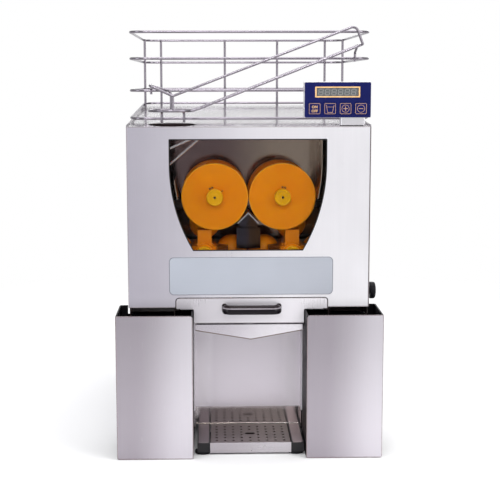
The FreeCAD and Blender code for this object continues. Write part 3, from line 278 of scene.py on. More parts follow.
def plastic(name, tone, tone2, rough=0.35, grain_bump=0.15, grain_size=1400, coat=0.0, wear=(0.6, 0.6, 0.6), fade=0.5, spec=0.5, wear_and_rim_highlight=None):
    """Moulded plastic: two close tones in cloudy patches, a fine mould texture and paler rubbed spots."""
    k = Mat(name)
    cloud = k.noise(k.at((22, 22, 22)), 1.0, 4.0, 0.6)
    colour = k.mix(k.span(cloud, 0.32, 0.68), tone, tone2)
    rub = k.noise(k.at((140, 140, 140)), 1.0, 6.0, 0.65)
    spot = k.span(rub, 0.62, 0.74, 0.0, 0.18 * fade)
    colour = k.mix(spot, colour, wear)
    grain = k.noise(k.at((grain_size,) * 3), 1.0, 2.0, 0.5)
    r = k.math("ADD", k.span(cloud, 0.3, 0.7, rough - 0.05, rough + 0.06), k.span(rub, 0.5, 0.75, -0.02, 0.08 * fade))
    if wear_and_rim_highlight:
        e = k.edge(*wear_and_rim_highlight)
        colour = k.mix(k.math("MULTIPLY", e, 0.25), colour, wear)
        r = k.math("ADD", r, k.math("MULTIPLY", e, 0.08))
    k.set(Base_Color=colour, Roughness=r)
    k.p.inputs["Specular IOR Level"].default_value = spec
    if coat:
        k.p.inputs["Coat Weight"].default_value = coat
        k.p.inputs["Coat Roughness"].default_value = 0.08
    n = k.bump(grain, grain_bump, 0.00015)
    n = k.bump(k.noise(k.at((30, 30, 30), loc=(1, 5, 2)), 1.0, 2.0), 0.08, 0.0006, n)
    k.set(Normal=n)
    return k


def dress(node, k, smooth=32.0):
    """Puts one material on a CAD node and shades it smooth up to the given edge angle."""
    o = N[node]
    o.data.materials.clear()
    o.data.materials.append(k.m if isinstance(k, Mat) else k)
    for poly in o.data.polygons:
        poly.material_index = 0
    soften(o, smooth)


def soften(o, angle=32.0):
    """Smooth shading with sharp edges where faces meet at more than the angle."""
    me = o.data
    bm = bmesh.new()
    bm.from_mesh(me)
    lim = math.radians(angle)
    sharp = [e.index for e in bm.edges if len(e.link_faces) != 2 or e.calc_face_angle(0.0) > lim]
    total = len(bm.edges)
    bm.free()
    if len(me.edges) != total:
        return
    me.polygons.foreach_set("use_smooth", [True] * len(me.polygons))
    flags = [False] * len(me.edges)
    for i in sharp:
        flags[i] = True
    me.edges.foreach_set("use_edge_sharp", flags)
    me.update()


def bx(node):
    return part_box(node)


# ---------------------------------------------------------------- materials of the CAD nodes
def make_materials():
    M = {}
    lo, hi = bx("cover_panel")
    # painted light: the cover fades from darker on the left to brighter on the right, and its dark rim is painted shade
    # along the edges
    M["cover"] = steel("steel_front_cover", ((0.510, 0.485, 0.555), (0.935, 0.920, 0.955)), rough=0.30, grain="z", line=0.022,
                       fade=(0, -0.200, 0.185, 0.10), border=(lo, hi, (0, 2), 0.0016), bump=0.06, rim=(0.42, 0.35, 0.36), rim_mix=0.55,
                       matte=(2, 0.266, 0.300, 0.25, 1.0))
    k = M["cover"]
    # painted shade: a dark band along the cover's right edge
    base = k.p.inputs["Base Color"].links[0].from_socket
    k.set(Base_Color=k.mix(k.span(k.xyz()[0], hi.x - 0.0026, hi.x - 0.0014, 0.0, 0.85, smooth=True), base, (0.13, 0.10, 0.11)))
    for side in ("left", "right"):
        lo, hi = bx("bin_front_" + side)
        # painted light: each bin front fades from darker on the left to brighter on the right, and its dark rim is
        # painted shade along the edges
        M["bin_front_" + side] = steel("steel_bin_front_" + side, ((0.385, 0.352, 0.392), (0.655, 0.625, 0.672)), rough=0.30,
                                       grain="z", line=0.022, fade=(0, lo.x + 0.022, hi.x - 0.012, -0.06),
                                       border=(lo, hi, (0, 2), 0.0015), bump=0.06,
                                       rim=(0.30, 0.23, 0.23), rim_mix=0.65)
    lo, hi = bx("drawer_tray")
    # painted light: the drawer front fades from darker on the left to brighter on the right, and its dark rim is
    # painted shade along the edges
    M["drawer"] = steel("steel_drawer", ((0.57, 0.545, 0.585), (0.86, 0.835, 0.875)), rough=0.28, grain="z", line=0.010,
                        matte=("x", 0.088, 0.108, 0.50, 0.25), streak=0.3,
                        fade=(0, -0.12, 0.13, 0.0), border=(lo, hi, (0, 2), 0.0012), bump=0.004, rim=(0.42, 0.36, 0.37), rim_mix=0.5)
    M["panel"] = steel("steel_side_panels", (0.72, 0.71, 0.74), rough=0.30, grain="z", line=0.03, smudge=0.9)
    lo, hi = bx("rear_cover")
    # painted highlight: a pale band along the edges of the rear cover
    M["rear"] = steel("steel_rear_cover", (0.70, 0.69, 0.72), rough=0.31, grain="z", line=0.03, smudge=1.0, border=(lo, hi, (0, 2), 0.003))
    M["plain"] = steel("steel_base_sheet", (0.60, 0.59, 0.61), rough=0.36, grain="y", line=0.05, smudge=1.0)
    # painted shade: the splash panel grows darker towards the top, under the juice tray
    M["splash"] = steel("steel_splash_panel", ((0.620, 0.578, 0.630), (0.458, 0.427, 0.466)), rough=0.055, grain="x", line=0.012, bump=0.40,
                        haze=(2, 0.0548, 0.0572, 0.25),
                        fade=(2, 0.02, 0.25, -0.25), smudge=0.6, stain=0.25)
    k = M["splash"]
    base = k.p.inputs["Base Color"].links[0].from_socket
    c = k.xyz()
    side = k.span(k.math("ABSOLUTE", c[0]), 0.060, 0.086, 1.0, 0.30, True)
    pale = k.mix(k.span(side, 1.0, 0.30), base, (0.790, 0.745, 0.800))
    k.set(Base_Color=k.mix(k.span(c[2], 0.0548, 0.0572, smooth=True), (0.410, 0.370, 0.380), pale))
    k.set(Metallic=k.math("MAXIMUM", side, k.span(c[2], 0.0548, 0.0572, 1.0, 0.0, True)))
    M["tray"] = steel("steel_top_tray", (0.50, 0.480, 0.500), rough=0.11, grain="y", line=0.012, bump=0.03, smudge=0.8, stain=0.4)
    # painted light: the chamber wall fades from darker on the left to brighter on the right
    M["wall"] = steel("steel_chamber_wall", ((0.178, 0.128, 0.132), (0.390, 0.322, 0.265)), rough=0.075, grain="z", line=0.02, bump=0.015,
                      fade=(0, -0.06, 0.07, 0.0), smudge=1.0, stain=0.4)
    # painted light: the juice tray fades from darker on the left to brighter on the right
    M["catcher"] = steel("steel_juice_tray", ((0.52, 0.488, 0.533), (0.83, 0.800, 0.845)), rough=0.20, grain="z", line=0.006, bump=0.004, streak=0.35,
                         fade=(0, -0.09, 0.09, 0.0), smudge=0.8, stain=0.5)
    # painted light: the grille fades from darker on the left to brighter on the right
    M["grille"] = steel("steel_drip_grille", ((0.192, 0.158, 0.158), (0.272, 0.236, 0.216)), rough=0.33, grain="y", line=0.09,
                        fade=(0, -0.070, 0.075, 0.0), smudge=1.3, stain=0.9, bump=0.14)
    # painted light: the drip tray fades from darker on the left to brighter on the right
    M["drip"] = steel("steel_drip_tray", ((0.46, 0.425, 0.455), (0.56, 0.53, 0.56)), rough=0.22, grain="x", line=0.015, bump=0.04,
                      fade=(0, -0.06, 0.06, 0.0), smudge=1.0, stain=0.6)
    M["box"] = steel("steel_control_box", (0.74, 0.73, 0.76), rough=0.28, grain="x", line=0.03, smudge=0.8)
    M["wire"] = steel("steel_wire", (0.235, 0.215, 0.245), rough=0.11, grain=None, line=0.0, smudge=0.5, bump=0.015)
    M["wire_in"] = steel("steel_wire_guide", (0.66, 0.65, 0.67), rough=0.12, grain=None, line=0.0, smudge=0.8, bump=0.05)
    M["knife"] = steel("steel_knife", (0.74, 0.73, 0.76), rough=0.16, grain="y", line=0.05, smudge=0.6, stain=0.4)
    M["machined"] = steel("steel_turned", (0.62, 0.61, 0.63), rough=0.24, grain="x", line=0.05, smudge=0.6)
    M["alloy"] = steel("cast_alloy_gearbox", (0.48, 0.48, 0.49), rough=0.50, grain=None, line=0.0, smudge=1.4, bump=0.5)

    # orange moulded discs, cups and balls
    def orange(name, face, back, split, spec=0.15, disc=False):
        k = Mat(name)
        c = k.xyz()
        cloud = k.noise(k.at((16, 16, 16)), 1.0, 4.0, 0.6)
        front = k.mix(k.span(cloud, 0.32, 0.70), face[0], face[1])
        rear = k.mix(k.span(cloud, 0.32, 0.70), back[0], back[1])
        t = k.span(c[1], split - 0.0035, split + 0.0035, smooth=True)
        colour = k.mix(t, front, rear)
        # painted highlight: a pale band on the disc's outer rim, on its front face
        if disc:
            dx = k.math("SUBTRACT", k.math("ABSOLUTE", c[0]), 0.0605)
            dz = k.math("SUBTRACT", c[2], 0.460)
            rad = k.math("SQRT", k.math("ADD", k.math("MULTIPLY", dx, dx), k.math("MULTIPLY", dz, dz)))
            wear_and_rim_highlight = k.math("MULTIPLY", k.span(rad, 0.0576, 0.0590, smooth=True), k.math("SUBTRACT", 1.0, t))
            colour = k.mix(k.math("MULTIPLY", wear_and_rim_highlight, 0.75), colour, (1.0, 0.47, 0.03))
        fibre = k.noise(k.at((260, 40, 260)), 1.0, 4.0, 0.65)
        colour = k.mix(k.span(fibre, 0.60, 0.74, 0.0, 0.20), colour, (1.0, 0.56, 0.09))
        fleck = k.span(k.cells(k.at((150, 150, 150)), 1.0), 0.0, 0.10, 1.0, 0.0)
        gate = k.span(k.noise(k.at((33, 33, 33), loc=(2, 2, 2)), 1.0, 2.0), 0.52, 0.60)
        colour = k.mix(k.math("MULTIPLY", k.math("MULTIPLY", fleck, gate), 0.30), colour, (0.30, 0.10, 0.01))
        r = k.math("ADD", k.span(cloud, 0.3, 0.7, 0.27, 0.40), k.span(fibre, 0.5, 0.75, 0.0, 0.08))
        k.set(Base_Color=colour, Roughness=r)
        k.p.inputs["Specular IOR Level"].default_value = spec
        k.p.inputs["Subsurface Weight"].default_value = 0.12
        k.p.inputs["Subsurface Radius"].default_value = (1.0, 0.35, 0.05)
        k.p.inputs["Subsurface Scale"].default_value = 0.004
        n = k.bump(fibre, 0.10, 0.0003)
        n = k.bump(k.noise(k.at((1100, 1100, 1100)), 1.0, 2.0), 0.10, 0.0001, n)
        k.set(Normal=n)
        return k

    M["drum"] = orange("plastic_orange_drum", ((0.735, 0.222, 0.0008), (0.800, 0.272, 0.0014)),
                       ((0.800, 0.200, 0.010), (0.950, 0.300, 0.012)), -0.2258, disc=True)
    M["ball"] = orange("plastic_orange_ball", ((0.860, 0.265, 0.003), (0.930, 0.325, 0.006)),
                       ((0.800, 0.235, 0.004), (0.880, 0.290, 0.006)), -0.100)
    M["yellow"] = plastic("plastic_yellow_knob", (0.680, 0.335, 0.001), (0.740, 0.390, 0.003), rough=0.30, wear=(0.95, 0.72, 0.20), fade=0.6, spec=0.18)
    k = plastic("plastic_web_amber", (0.720, 0.215, 0.002), (0.800, 0.270, 0.004), rough=0.34, wear=(0.95, 0.55, 0.14), fade=0.6, spec=0.18)
    c = k.xyz()
    # darker more than about 20 mm either side of x = 79 mm from the middle, with a noisy boundary
    off = k.math("ABSOLUTE", k.math("SUBTRACT", k.math("ABSOLUTE", c[0]), 0.079))
    band_noise = k.noise(k.at((60, 60, 60)), 1.0, 3.0, 0.6)
    patch_mask = k.span(k.math("ADD", off, k.math("MULTIPLY", k.math("SUBTRACT", band_noise, 0.5), 0.006)), 0.0175, 0.0245, smooth=True)
    base = k.p.inputs["Base Color"].links[0].from_socket
    k.set(Base_Color=k.mix(patch_mask, base, (0.115, 0.032, 0.003)))
    M["web"] = k
    M["holder"] = steel("steel_knife_holder", ((0.050, 0.046, 0.062), (0.075, 0.040, 0.022)), rough=0.20, grain="x", line=0.05, bump=0.05,
                        fade=(0, -0.006, 0.006, 0.0), smudge=1.0, stain=0.8)
    M["liner"] = steel("steel_chamber_guard", (0.52, 0.44, 0.36), rough=0.20, grain="y", line=0.05, bump=0.05, smudge=1.0, stain=0.6)

    # black and dark plastics
    M["black"] = plastic("plastic_black_bin", (0.0080, 0.0076, 0.0088), (0.0120, 0.0114, 0.0130), rough=0.46, wear=(0.06, 0.06, 0.065), fade=0.5, grain_bump=0.25, grain_size=1100, spec=0.08)
    M["arm"] = plastic("plastic_black_arm", (0.007, 0.006, 0.008), (0.012, 0.011, 0.013), rough=0.34, wear=(0.10, 0.10, 0.11), fade=0.5, grain_bump=0.25, spec=0.30)
    M["foot"] = plastic("rubber_foot", (0.007, 0.007, 0.009), (0.013, 0.013, 0.016), rough=0.60, wear=(0.10, 0.10, 0.10), fade=0.8, grain_bump=0.4, grain_size=800, spec=0.12)
    k = plastic("plastic_gloss_handle", (0.0060, 0.0045, 0.0065), (0.0085, 0.0060, 0.0085), rough=0.14, wear=(0.14, 0.13, 0.14), fade=0.3, grain_bump=0.04, spec=0.17)
    c = k.xyz()
    base = k.p.inputs["Base Color"].links[0].from_socket
    # painted light: the top of the bow is a lighter purple-brown, and a pale line along its middle is a painted
    # highlight
    up = k.span(c[2], 0.2656, 0.2668, smooth=True)
    line = k.math("MULTIPLY", k.span(c[2], 0.2638, 0.2648, smooth=True), k.span(c[2], 0.2656, 0.2666, 1.0, 0.0, True))
    both = k.mix(up, base, (0.014, 0.008, 0.010))
    k.set(Base_Color=k.mix(k.math("MULTIPLY", line, 0.9), both, (0.30, 0.27, 0.30)))
    M["gloss"] = k
    M["chute"] = plastic("plastic_dark_chute", (0.022, 0.016, 0.017), (0.036, 0.026, 0.024), rough=0.34, wear=(0.16, 0.10, 0.07), fade=0.8, grain_bump=0.25, spec=0.35)
    M["knob"] = plastic("plastic_side_knob", (0.005, 0.0045, 0.006), (0.009, 0.0085, 0.011), rough=0.34, wear=(0.10, 0.10, 0.11), fade=0.5, spec=0.10)
    M["inlet"] = plastic("plastic_inlet", (0.010, 0.010, 0.011), (0.018, 0.018, 0.020), rough=0.40, wear=(0.15, 0.15, 0.16), fade=0.5, spec=0.3)
    M["motor"] = plastic("paint_motor", (0.045, 0.052, 0.060), (0.062, 0.070, 0.080), rough=0.42, wear=(0.30, 0.30, 0.30), fade=1.0, grain_bump=0.5, grain_size=500)
    M["seal"] = plastic("rubber_seal", (0.012, 0.012, 0.013), (0.022, 0.021, 0.022), rough=0.55, wear=(0.1, 0.1, 0.1), fade=0.6, grain_bump=0.3)

    # label plate: pale anodised sheet with a faint pale band along its edges, a painted highlight of the bevelled rim
    k = Mat("label_plate")
    lo, hi = bx("label_plate")
    c = k.xyz()
    cloud = k.noise(k.at((9, 9, 9)), 1.0, 4.0, 0.55)
    base = k.mix(k.span(c[0], lo.x, hi.x, smooth=True), (0.455, 0.485, 0.552), (0.440, 0.462, 0.520))
    base = k.mix(1.0, base, k.grey(k.span(cloud, 0.3, 0.7, 0.97, 1.02)), "MULTIPLY")
    grain = k.noise(k.at((14, 900, 900)), 1.0, 3.0, 0.6)
    base = k.mix(1.0, base, k.grey(k.span(grain, 0.3, 0.7, 0.988, 1.010)), "MULTIPLY")
    # painted highlight: pale band along the plate's edges
    e = k.edge(lo, hi, (0, 2), 0.0016)
    base = k.mix(k.math("MULTIPLY", e, 0.5), base, (0.80, 0.81, 0.85))
    k.set(Base_Color=base, Metallic=0.35, Roughness=k.span(cloud, 0.3, 0.7, 0.34, 0.42))
    k.set(Normal=k.bump(grain, 0.08, 0.0001))
    M["label"] = k

    # keypad: printed film over the box front
    k = Mat("keypad_film")
    cloud = k.noise(k.at((26, 26, 26)), 1.0, 4.0, 0.6)
    base = k.mix(k.span(cloud, 0.3, 0.7), (0.0060, 0.0085, 0.072), (0.0085, 0.0115, 0.090))
    film = k.noise(k.at((800, 800, 800)), 1.0, 3.0, 0.6)
    rub = k.span(k.noise(k.at((70, 70, 70)), 1.0, 5.0, 0.7), 0.60, 0.78, 0.0, 0.10)
    base = k.mix(rub, base, (0.06, 0.07, 0.17))
    k.set(Base_Color=base, Roughness=k.math("ADD", k.span(cloud, 0.3, 0.7, 0.34, 0.44), rub))
    k.set(Normal=k.bump(film, 0.15, 0.0001))
    k.p.inputs["Specular IOR Level"].default_value = 0.08
    M["film"] = k

    k = Mat("keypad_key")
    cloud = k.noise(k.at((60, 60, 60)), 1.0, 4.0, 0.6)
    base = k.mix(k.span(cloud, 0.3, 0.7), (0.0065, 0.0090, 0.075), (0.0095, 0.0125, 0.095))
    film = k.noise(k.at((900, 900, 900)), 1.0, 3.0, 0.6)
    rub = k.span(k.noise(k.at((150, 150, 150)), 1.0, 5.0, 0.7), 0.58, 0.76, 0.0, 0.14)
    base = k.mix(rub, base, (0.10, 0.12, 0.25))
    k.set(Base_Color=base, Roughness=k.math("ADD", k.span(cloud, 0.3, 0.7, 0.26, 0.36), rub))
    k.set(Normal=k.bump(film, 0.12, 0.0001))
    k.p.inputs["Specular IOR Level"].default_value = 0.08
    M["key"] = k

    # display glass: grey-green reflective LCD field
    k = Mat("display_field")
    cloud = k.noise(k.at((40, 40, 40)), 1.0, 3.0, 0.6)
    base = k.mix(k.span(cloud, 0.3, 0.7), (0.095, 0.102, 0.106), (0.112, 0.118, 0.121))
    dots = k.noise(k.at((1600, 1600, 1600)), 1.0, 2.0)
    base = k.mix(k.span(dots, 0.45, 0.65, 0.0, 0.10), base, (0.15, 0.15, 0.14))
    k.set(Base_Color=base, Roughness=k.span(cloud, 0.3, 0.7, 0.12, 0.22))
    k.p.inputs["Specular IOR Level"].default_value = 0.35
    k.set(Normal=k.bump(dots, 0.03, 0.00005))
    M["lcd"] = k

    # smoked clear window; lamps reach what is behind it
    k = Mat("smoked_window")
    haze = k.noise(k.at((18, 18, 18)), 1.0, 4.0, 0.6)
    tint = k.mix(k.span(haze, 0.3, 0.7), (0.700, 0.685, 0.680), (0.745, 0.728, 0.720))
    k.set(Base_Color=tint, Roughness=k.span(haze, 0.35, 0.75, 0.0, 0.018))
    k.p.inputs["Transmission Weight"].default_value = 1.0
    k.p.inputs["IOR"].default_value = 1.10
    k.set(Normal=k.bump(k.noise(k.at((10, 10, 10)), 1.0, 2.0), 0.04, 0.0008))
    path = k.nt.nodes.new("ShaderNodeLightPath")
    clear = k.nt.nodes.new("ShaderNodeBsdfTransparent")
    clear.inputs["Color"].default_value = (0.74, 0.73, 0.725, 1)
    mixer = k.nt.nodes.new("ShaderNodeMixShader")
    k.link(path.outputs["Is Shadow Ray"], mixer.inputs[0])
    k.link(k.p.outputs[0], mixer.inputs[1])
    k.link(clear.outputs[0], mixer.inputs[2])
    k.link(mixer.outputs[0], k.out.inputs[0])
    M["window"] = k
    return M


M = make_materials()

for node, key in {
    "base_plate": "plain", "splash_panel": "splash", "side_panels": "panel",
    "rear_cover": "rear", "power_inlet": "inlet", "top_tray": "tray", "chamber_wall": "wall", "peel_chutes": "chute",
    "base_arms": "arm", "feet": "foot", "gearbox_housing": "alloy", "shaft_bearings": "machined", "shaft_seals": "seal",
    "motor_body": "motor", "knife_blade": "knife", "knife_holder": "holder", "peel_ejectors": "chute", "chamber_liners": "liner", "feed_guide": "wire_in",
    "control_housing": "box", "keypad_face": "film", "lcd_screen": "lcd",
    "drum_disc_left": "drum", "drum_disc_right": "drum", "cup_drum_left": "drum", "cup_drum_right": "drum",
    "ball_drum_left": "web", "ball_drum_right": "web", "press_balls_left": "ball", "press_balls_right": "ball",
    "drum_knob_upper_left": "yellow", "drum_knob_upper_right": "yellow", "drum_knob_lower_left": "yellow",
    "drum_knob_lower_right": "yellow",
    "gear_shaft_upper_left": "machined", "gear_shaft_upper_right": "machined",
    "gear_shaft_lower_left": "machined", "gear_shaft_lower_right": "machined", "drive_pinion": "machined",
    "fruit_basket": "wire", "orange_ramp": "wire", "feed_ring": "wire",
    "cover_panel": "cover", "cover_window": "window", "label_plate": "label",
    "drawer_tray": "drawer", "drawer_strainer": "catcher", "drawer_handle": "gloss", "juice_tray": "catcher",
    "drip_tray": "drip", "drip_grille": "grille", "bin_left": "black", "bin_right": "black",
    "bin_front_left": "bin_front_left", "bin_front_right": "bin_front_right",
    "button_on_off": "key", "button_glass": "key", "button_plus": "key", "button_minus": "key", "side_knob": "knob",
    "side_panel_left": "panel", "side_panel_right": "panel",
    "shaft_upper_left": "machined", "shaft_upper_right": "machined", "shaft_lower_left": "machined", "shaft_lower_right": "machined",
    "gear_upper_left": "machined", "gear_upper_right": "machined", "gear_lower_left": "machined", "gear_lower_right": "machined",
}.items():
    if node in N:
        dress(node, M[key])


# ---------------------------------------------------------------- small pieces that the CAD leaves out
def piece(name, bm, mat, body, smooth=35.0, replaces=()):
    """Turns a bmesh in frame metres into a piece that rides on a body."""
    bmesh.ops.remove_doubles(bm, verts=bm.verts, dist=1e-7)
    bmesh.ops.recalc_face_normals(bm, faces=bm.faces)
    me = bpy.data.meshes.new(name)
    bm.to_mesh(me)
    bm.free()
    o = bpy.data.objects.new(name, me)
    scene.collection.objects.link(o)
    me.materials.append(mat.m if isinstance(mat, Mat) else mat)
    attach(o, body)
    if replaces:
        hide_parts(*replaces)
    if smooth:
        soften(o, smooth)
    return o


def rr(x0, x1, z0, z1, r, n=5):
    """Rounded rectangle as a list of points, anticlockwise from the lower right corner."""
    pts = []
    for cx, cz, a0 in ((x1 - r, z0 + r, -90), (x1 - r, z1 - r, 0), (x0 + r, z1 - r, 90), (x0 + r, z0 + r, 180)):
        for i in range(n + 1):
            a = math.radians(a0 + 90.0 * i / n)
            pts.append((cx + r * math.cos(a), cz + r * math.sin(a)))
    return pts


def face_to(plane):
    """How a flat outline point and a depth become a point in the frame, in metres."""
    if plane == "xz":
        return lambda p, d: (p[0] * MM, d * MM, p[1] * MM)
    if plane == "xy":
        return lambda p, d: (p[0] * MM, p[1] * MM, d * MM)
    return lambda p, d: (d * MM, p[0] * MM, p[1] * MM)


def slab(bm, pts, d0, d1, plane="xz", edge=0.0):
    """A closed outline pulled from depth d0 to d1; edge slopes the d0 side's rim inwards a little."""
    f = face_to(plane)
    cx = sum(p[0] for p in pts) / len(pts)
    cz = sum(p[1] for p in pts) / len(pts)

    def shrink(p):
        dx, dz = cx - p[0], cz - p[1]
        length = math.hypot(dx, dz) or 1.0
        return (p[0] + dx / length * edge, p[1] + dz / length * edge)

    rows = []
    if edge:
        rows.append([bm.verts.new(f(shrink(p), d0)) for p in pts])
        rows.append([bm.verts.new(f(p, d0 + (edge if d1 > d0 else -edge))) for p in pts])
    else:
        rows.append([bm.verts.new(f(p, d0)) for p in pts])
    rows.append([bm.verts.new(f(p, d1)) for p in pts])
    n = len(pts)
    for a, b in zip(rows, rows[1:]):
        for i in range(n):
            bm.faces.new((a[i], a[(i + 1) % n], b[(i + 1) % n], b[i]))
    bm.faces.new(rows[0])
    bm.faces.new(rows[-1])


def band(bm, outer, inner, d0, d1, plane="xz"):
    """The ring between two outlines with the same number of points, from depth d0 to d1."""
    f = face_to(plane)
    n = len(outer)
    ring = [[bm.verts.new(f(p, d)) for p in loop] for loop, d in ((outer, d0), (inner, d0), (inner, d1), (outer, d1))]
    for a, b in zip(ring, ring[1:] + ring[:1]):
        for i in range(n):
            bm.faces.new((a[i], a[(i + 1) % n], b[(i + 1) % n], b[i]))


def lathe(bm, profile, centre, axis="y", seg=36, shape=None):
    """Turned form: profile is (radius, distance along the axis) in mm; shape(angle, radius) may change a radius."""
    rows = []
    for k, (r, d) in enumerate(profile):
        row = []
        if r <= 1e-6:
            row = [None]
        angles = [2 * math.pi * i / seg for i in range(seg)] if r > 1e-6 else [0.0]
        row = []
        for a in angles:
            q = shape(a, r, k) if shape and r > 1e-6 else r
            u, v = q * math.cos(a), q * math.sin(a)
            if axis == "y":
                co = (centre[0] + u, centre[1] + d, centre[2] + v)
            elif axis == "x":
                co = (centre[0] + d, centre[1] + u, centre[2] + v)
            else:
                co = (centre[0] + u, centre[1] + v, centre[2] + d)
            row.append(bm.verts.new([c * MM for c in co]))
        rows.append(row)
    for a, b in zip(rows, rows[1:]):
        if len(a) == 1 and len(b) == 1:
            continue
        for i in range(seg):
            j = (i + 1) % seg
            if len(a) == 1:
                bm.faces.new((a[0], b[j], b[i]))
            elif len(b) == 1:
                bm.faces.new((a[i], a[j], b[0]))
            else:
                bm.faces.new((a[i], a[j], b[j], b[i]))
    for row in (rows[0], rows[-1]):
        if len(row) > 2:
            bm.faces.new(row)


def make_detail_materials():
    D = {}
    k = Mat("print_gold")
    c = k.noise(k.at((120, 120, 120)), 1.0, 4.0, 0.6)
    k.set(Base_Color=k.mix(k.span(c, 0.3, 0.7), (0.72, 0.43, 0.17), (0.84, 0.53, 0.24)), Roughness=k.span(c, 0.3, 0.7, 0.38, 0.50))
    k.set(Normal=k.bump(k.noise(k.at((900, 900, 900)), 1.0, 2.0), 0.1, 0.00005))
    D["gold"] = k
    k = Mat("display_segments")
    c = k.noise(k.at((90, 90, 90)), 1.0, 3.0, 0.6)
    k.set(Base_Color=k.mix(k.span(c, 0.3, 0.7), (0.215, 0.220, 0.218), (0.250, 0.254, 0.250)), Roughness=k.span(c, 0.3, 0.7, 0.25, 0.35))
    D["segment"] = k
    k = Mat("print_key_lines")
    c = k.noise(k.at((120, 120, 120)), 1.0, 4.0, 0.6)
    k.set(Base_Color=k.mix(k.span(c, 0.3, 0.7), (0.46, 0.27, 0.185), (0.56, 0.34, 0.22)), Roughness=k.span(c, 0.3, 0.7, 0.38, 0.50))
    k.set(Normal=k.bump(k.noise(k.at((900, 900, 900)), 1.0, 2.0), 0.1, 0.00005))
    D["line"] = k
    # dark plastic for the knob plugs and the marks on the discs
    D["mark"] = plastic("plastic_dark_mark", (0.020, 0.012, 0.006), (0.034, 0.020, 0.010), rough=0.5, wear=(0.25, 0.12, 0.03), fade=0.6)
    D["gasket"] = plastic("rubber_window_seal", (0.008, 0.008, 0.009), (0.016, 0.015, 0.016), rough=0.55, wear=(0.08, 0.08, 0.08), fade=0.5, spec=0.25)
    D["screw"] = steel("steel_screws", (0.62, 0.61, 0.63), rough=0.22, grain=None, line=0.0, smudge=0.8, bump=0.05)
    # painted light: the left arm's strip is darker than the right one, fading across
    D["inset"] = steel("steel_arm_inset", ((0.245, 0.200, 0.216), (0.560, 0.470, 0.462)), rough=0.32, grain="y", line=0.07,
                       fade=(0, -0.08, 0.08, 0.0), smudge=1.2, stain=0.5, bump=0.12)
    D["pin"] = steel("nickel_pins", (0.66, 0.64, 0.60), rough=0.25, grain=None, line=0.0, smudge=0.6, bump=0.05)
    # painted shadow: dark strip along the juice tray's lower edge
    D["hem"] = steel("steel_tray_hem", (0.175, 0.135, 0.115), rough=0.36, grain="x", line=0.06, smudge=0.8, bump=0.06)
    # painted light: the bead fades from darker on the left to brighter on the right
    D["bead"] = steel("steel_splash_bead", ((0.62, 0.55, 0.50), (0.78, 0.72, 0.70)), rough=0.24, grain="x", line=0.03, smudge=0.6, bump=0.05,
                      fade=(0, -0.09, 0.09, 0.0))
    D["rim"] = steel("steel_label_rim", (0.24, 0.25, 0.29), rough=0.40, grain=None, line=0.0, smudge=0.5, bump=0.05)
    return D


D = make_detail_materials()


# drawer handle: a glossy bow with an egg-shaped section, ends turned in to the drawer front
def make_handle():
    bm = bmesh.new()
    xa, xb, yf, yb, zc = -43.9, 53.4, -278.6, -259.6, 262.6
    rc = 13.0
    path = [(xa, yb)]
    for i in range(11):
        a = math.radians(180 + 90 * i / 10)
        path.append((xa + rc + rc * math.cos(a), yf + rc + rc * math.sin(a)))
    for i in range(1, 12):
        path.append((xa + rc + (xb - xa - 2 * rc) * i / 12.0, yf))
    for i in range(11):
        a = math.radians(270 + 90 * i / 10)
        path.append((xb - rc + rc * math.cos(a), yf + rc + rc * math.sin(a)))
    path.append((xb, yb))
    seg = 28
    rows = []
    for i, (x, y) in enumerate(path):
        x0, y0 = path[max(i - 1, 0)]
        x1, y1 = path[min(i + 1, len(path) - 1)]
        tx, ty = x1 - x0, y1 - y0
        length = math.hypot(tx, ty)
        nx, ny = ty / length, -tx / length
        t = i / (len(path) - 1)
        mid = 1.0 - abs(2 * t - 1)
        hz = 7.2 + 1.2 * min(1.0, mid * 4.0)
        hn = 4.1
        row = []
        for j in range(seg):
            a = 2 * math.pi * j / seg
            ca, sa = math.cos(a), math.sin(a)
            u = math.copysign(abs(ca) ** 1.0, ca) * hn
            v = math.copysign(abs(sa) ** 0.92, sa) * hz
            u, v = u * 0.951 - v * 0.309, u * 0.309 + v * 0.951
            row.append(bm.verts.new(((x + nx * u) * MM, (y + ny * u) * MM, (zc + v) * MM)))
        rows.append(row)
    for a, b in zip(rows, rows[1:]):
        for j in range(seg):
            bm.faces.new((a[j], a[(j + 1) % seg], b[(j + 1) % seg], b[j]))
    bm.faces.new(rows[0])
    bm.faces.new(rows[-1])
    piece("handle_bow", bm, M["gloss"], "drawer", smooth=50, replaces=("drawer_handle",))
    # small feet where the bow meets the sheet
    bm = bmesh.new()
    for x in (xa, xb):
        slab(bm, rr(x - 4.7, x + 4.7, zc - 8.2, zc + 8.2, 4.2), -261.2, -259.9, "xz", edge=0.5)
    piece("handle_feet", bm, M["gloss"], "drawer")


make_handle()


# steel strips let into the tops of the two base arms
def make_insets():
    for name, x0, x1 in (("arm_inset_left", -91.4, -73.1), ("arm_inset_right", 77.8, 95.9)):
        bm = bmesh.new()
        slab(bm, rr(x0, x1, -286.0, -176.5, 3.2), 22.45, 21.9, "xy", edge=0.25)
        piece(name, bm, D["inset"], "housing")


make_insets()


# folded hem along the lower edge of the juice tray, coloured dark as a painted shadow line, and the bead at the foot of
# the splash panel
def make_hems():
    bm = bmesh.new()
    low = bx("juice_tray")[0].z / MM
    edge = [(-95.6, 222.0), (-46.0, 222.0 - (222.0 - low) * 0.5), (3.5, low), (49.7, 222.0 - (222.0 - low) * 0.5), (95.6, 222.0)]
    pts = [(x, z - 0.15) for x, z in edge] + [(x, z + 1.25) for x, z in reversed(edge)]
    slab(bm, pts, -262.55, -261.6)
    piece("juice_tray_hem", bm, D["hem"], "juice_catcher", smooth=30)
    bm = bmesh.new()
    slab(bm, rr(-175.3, -173.9, 22.3, 23.9, 0.65), -96.6, 96.6, "yz")
    piece("splash_bead", bm, D["bead"], "housing", smooth=40)


make_hems()


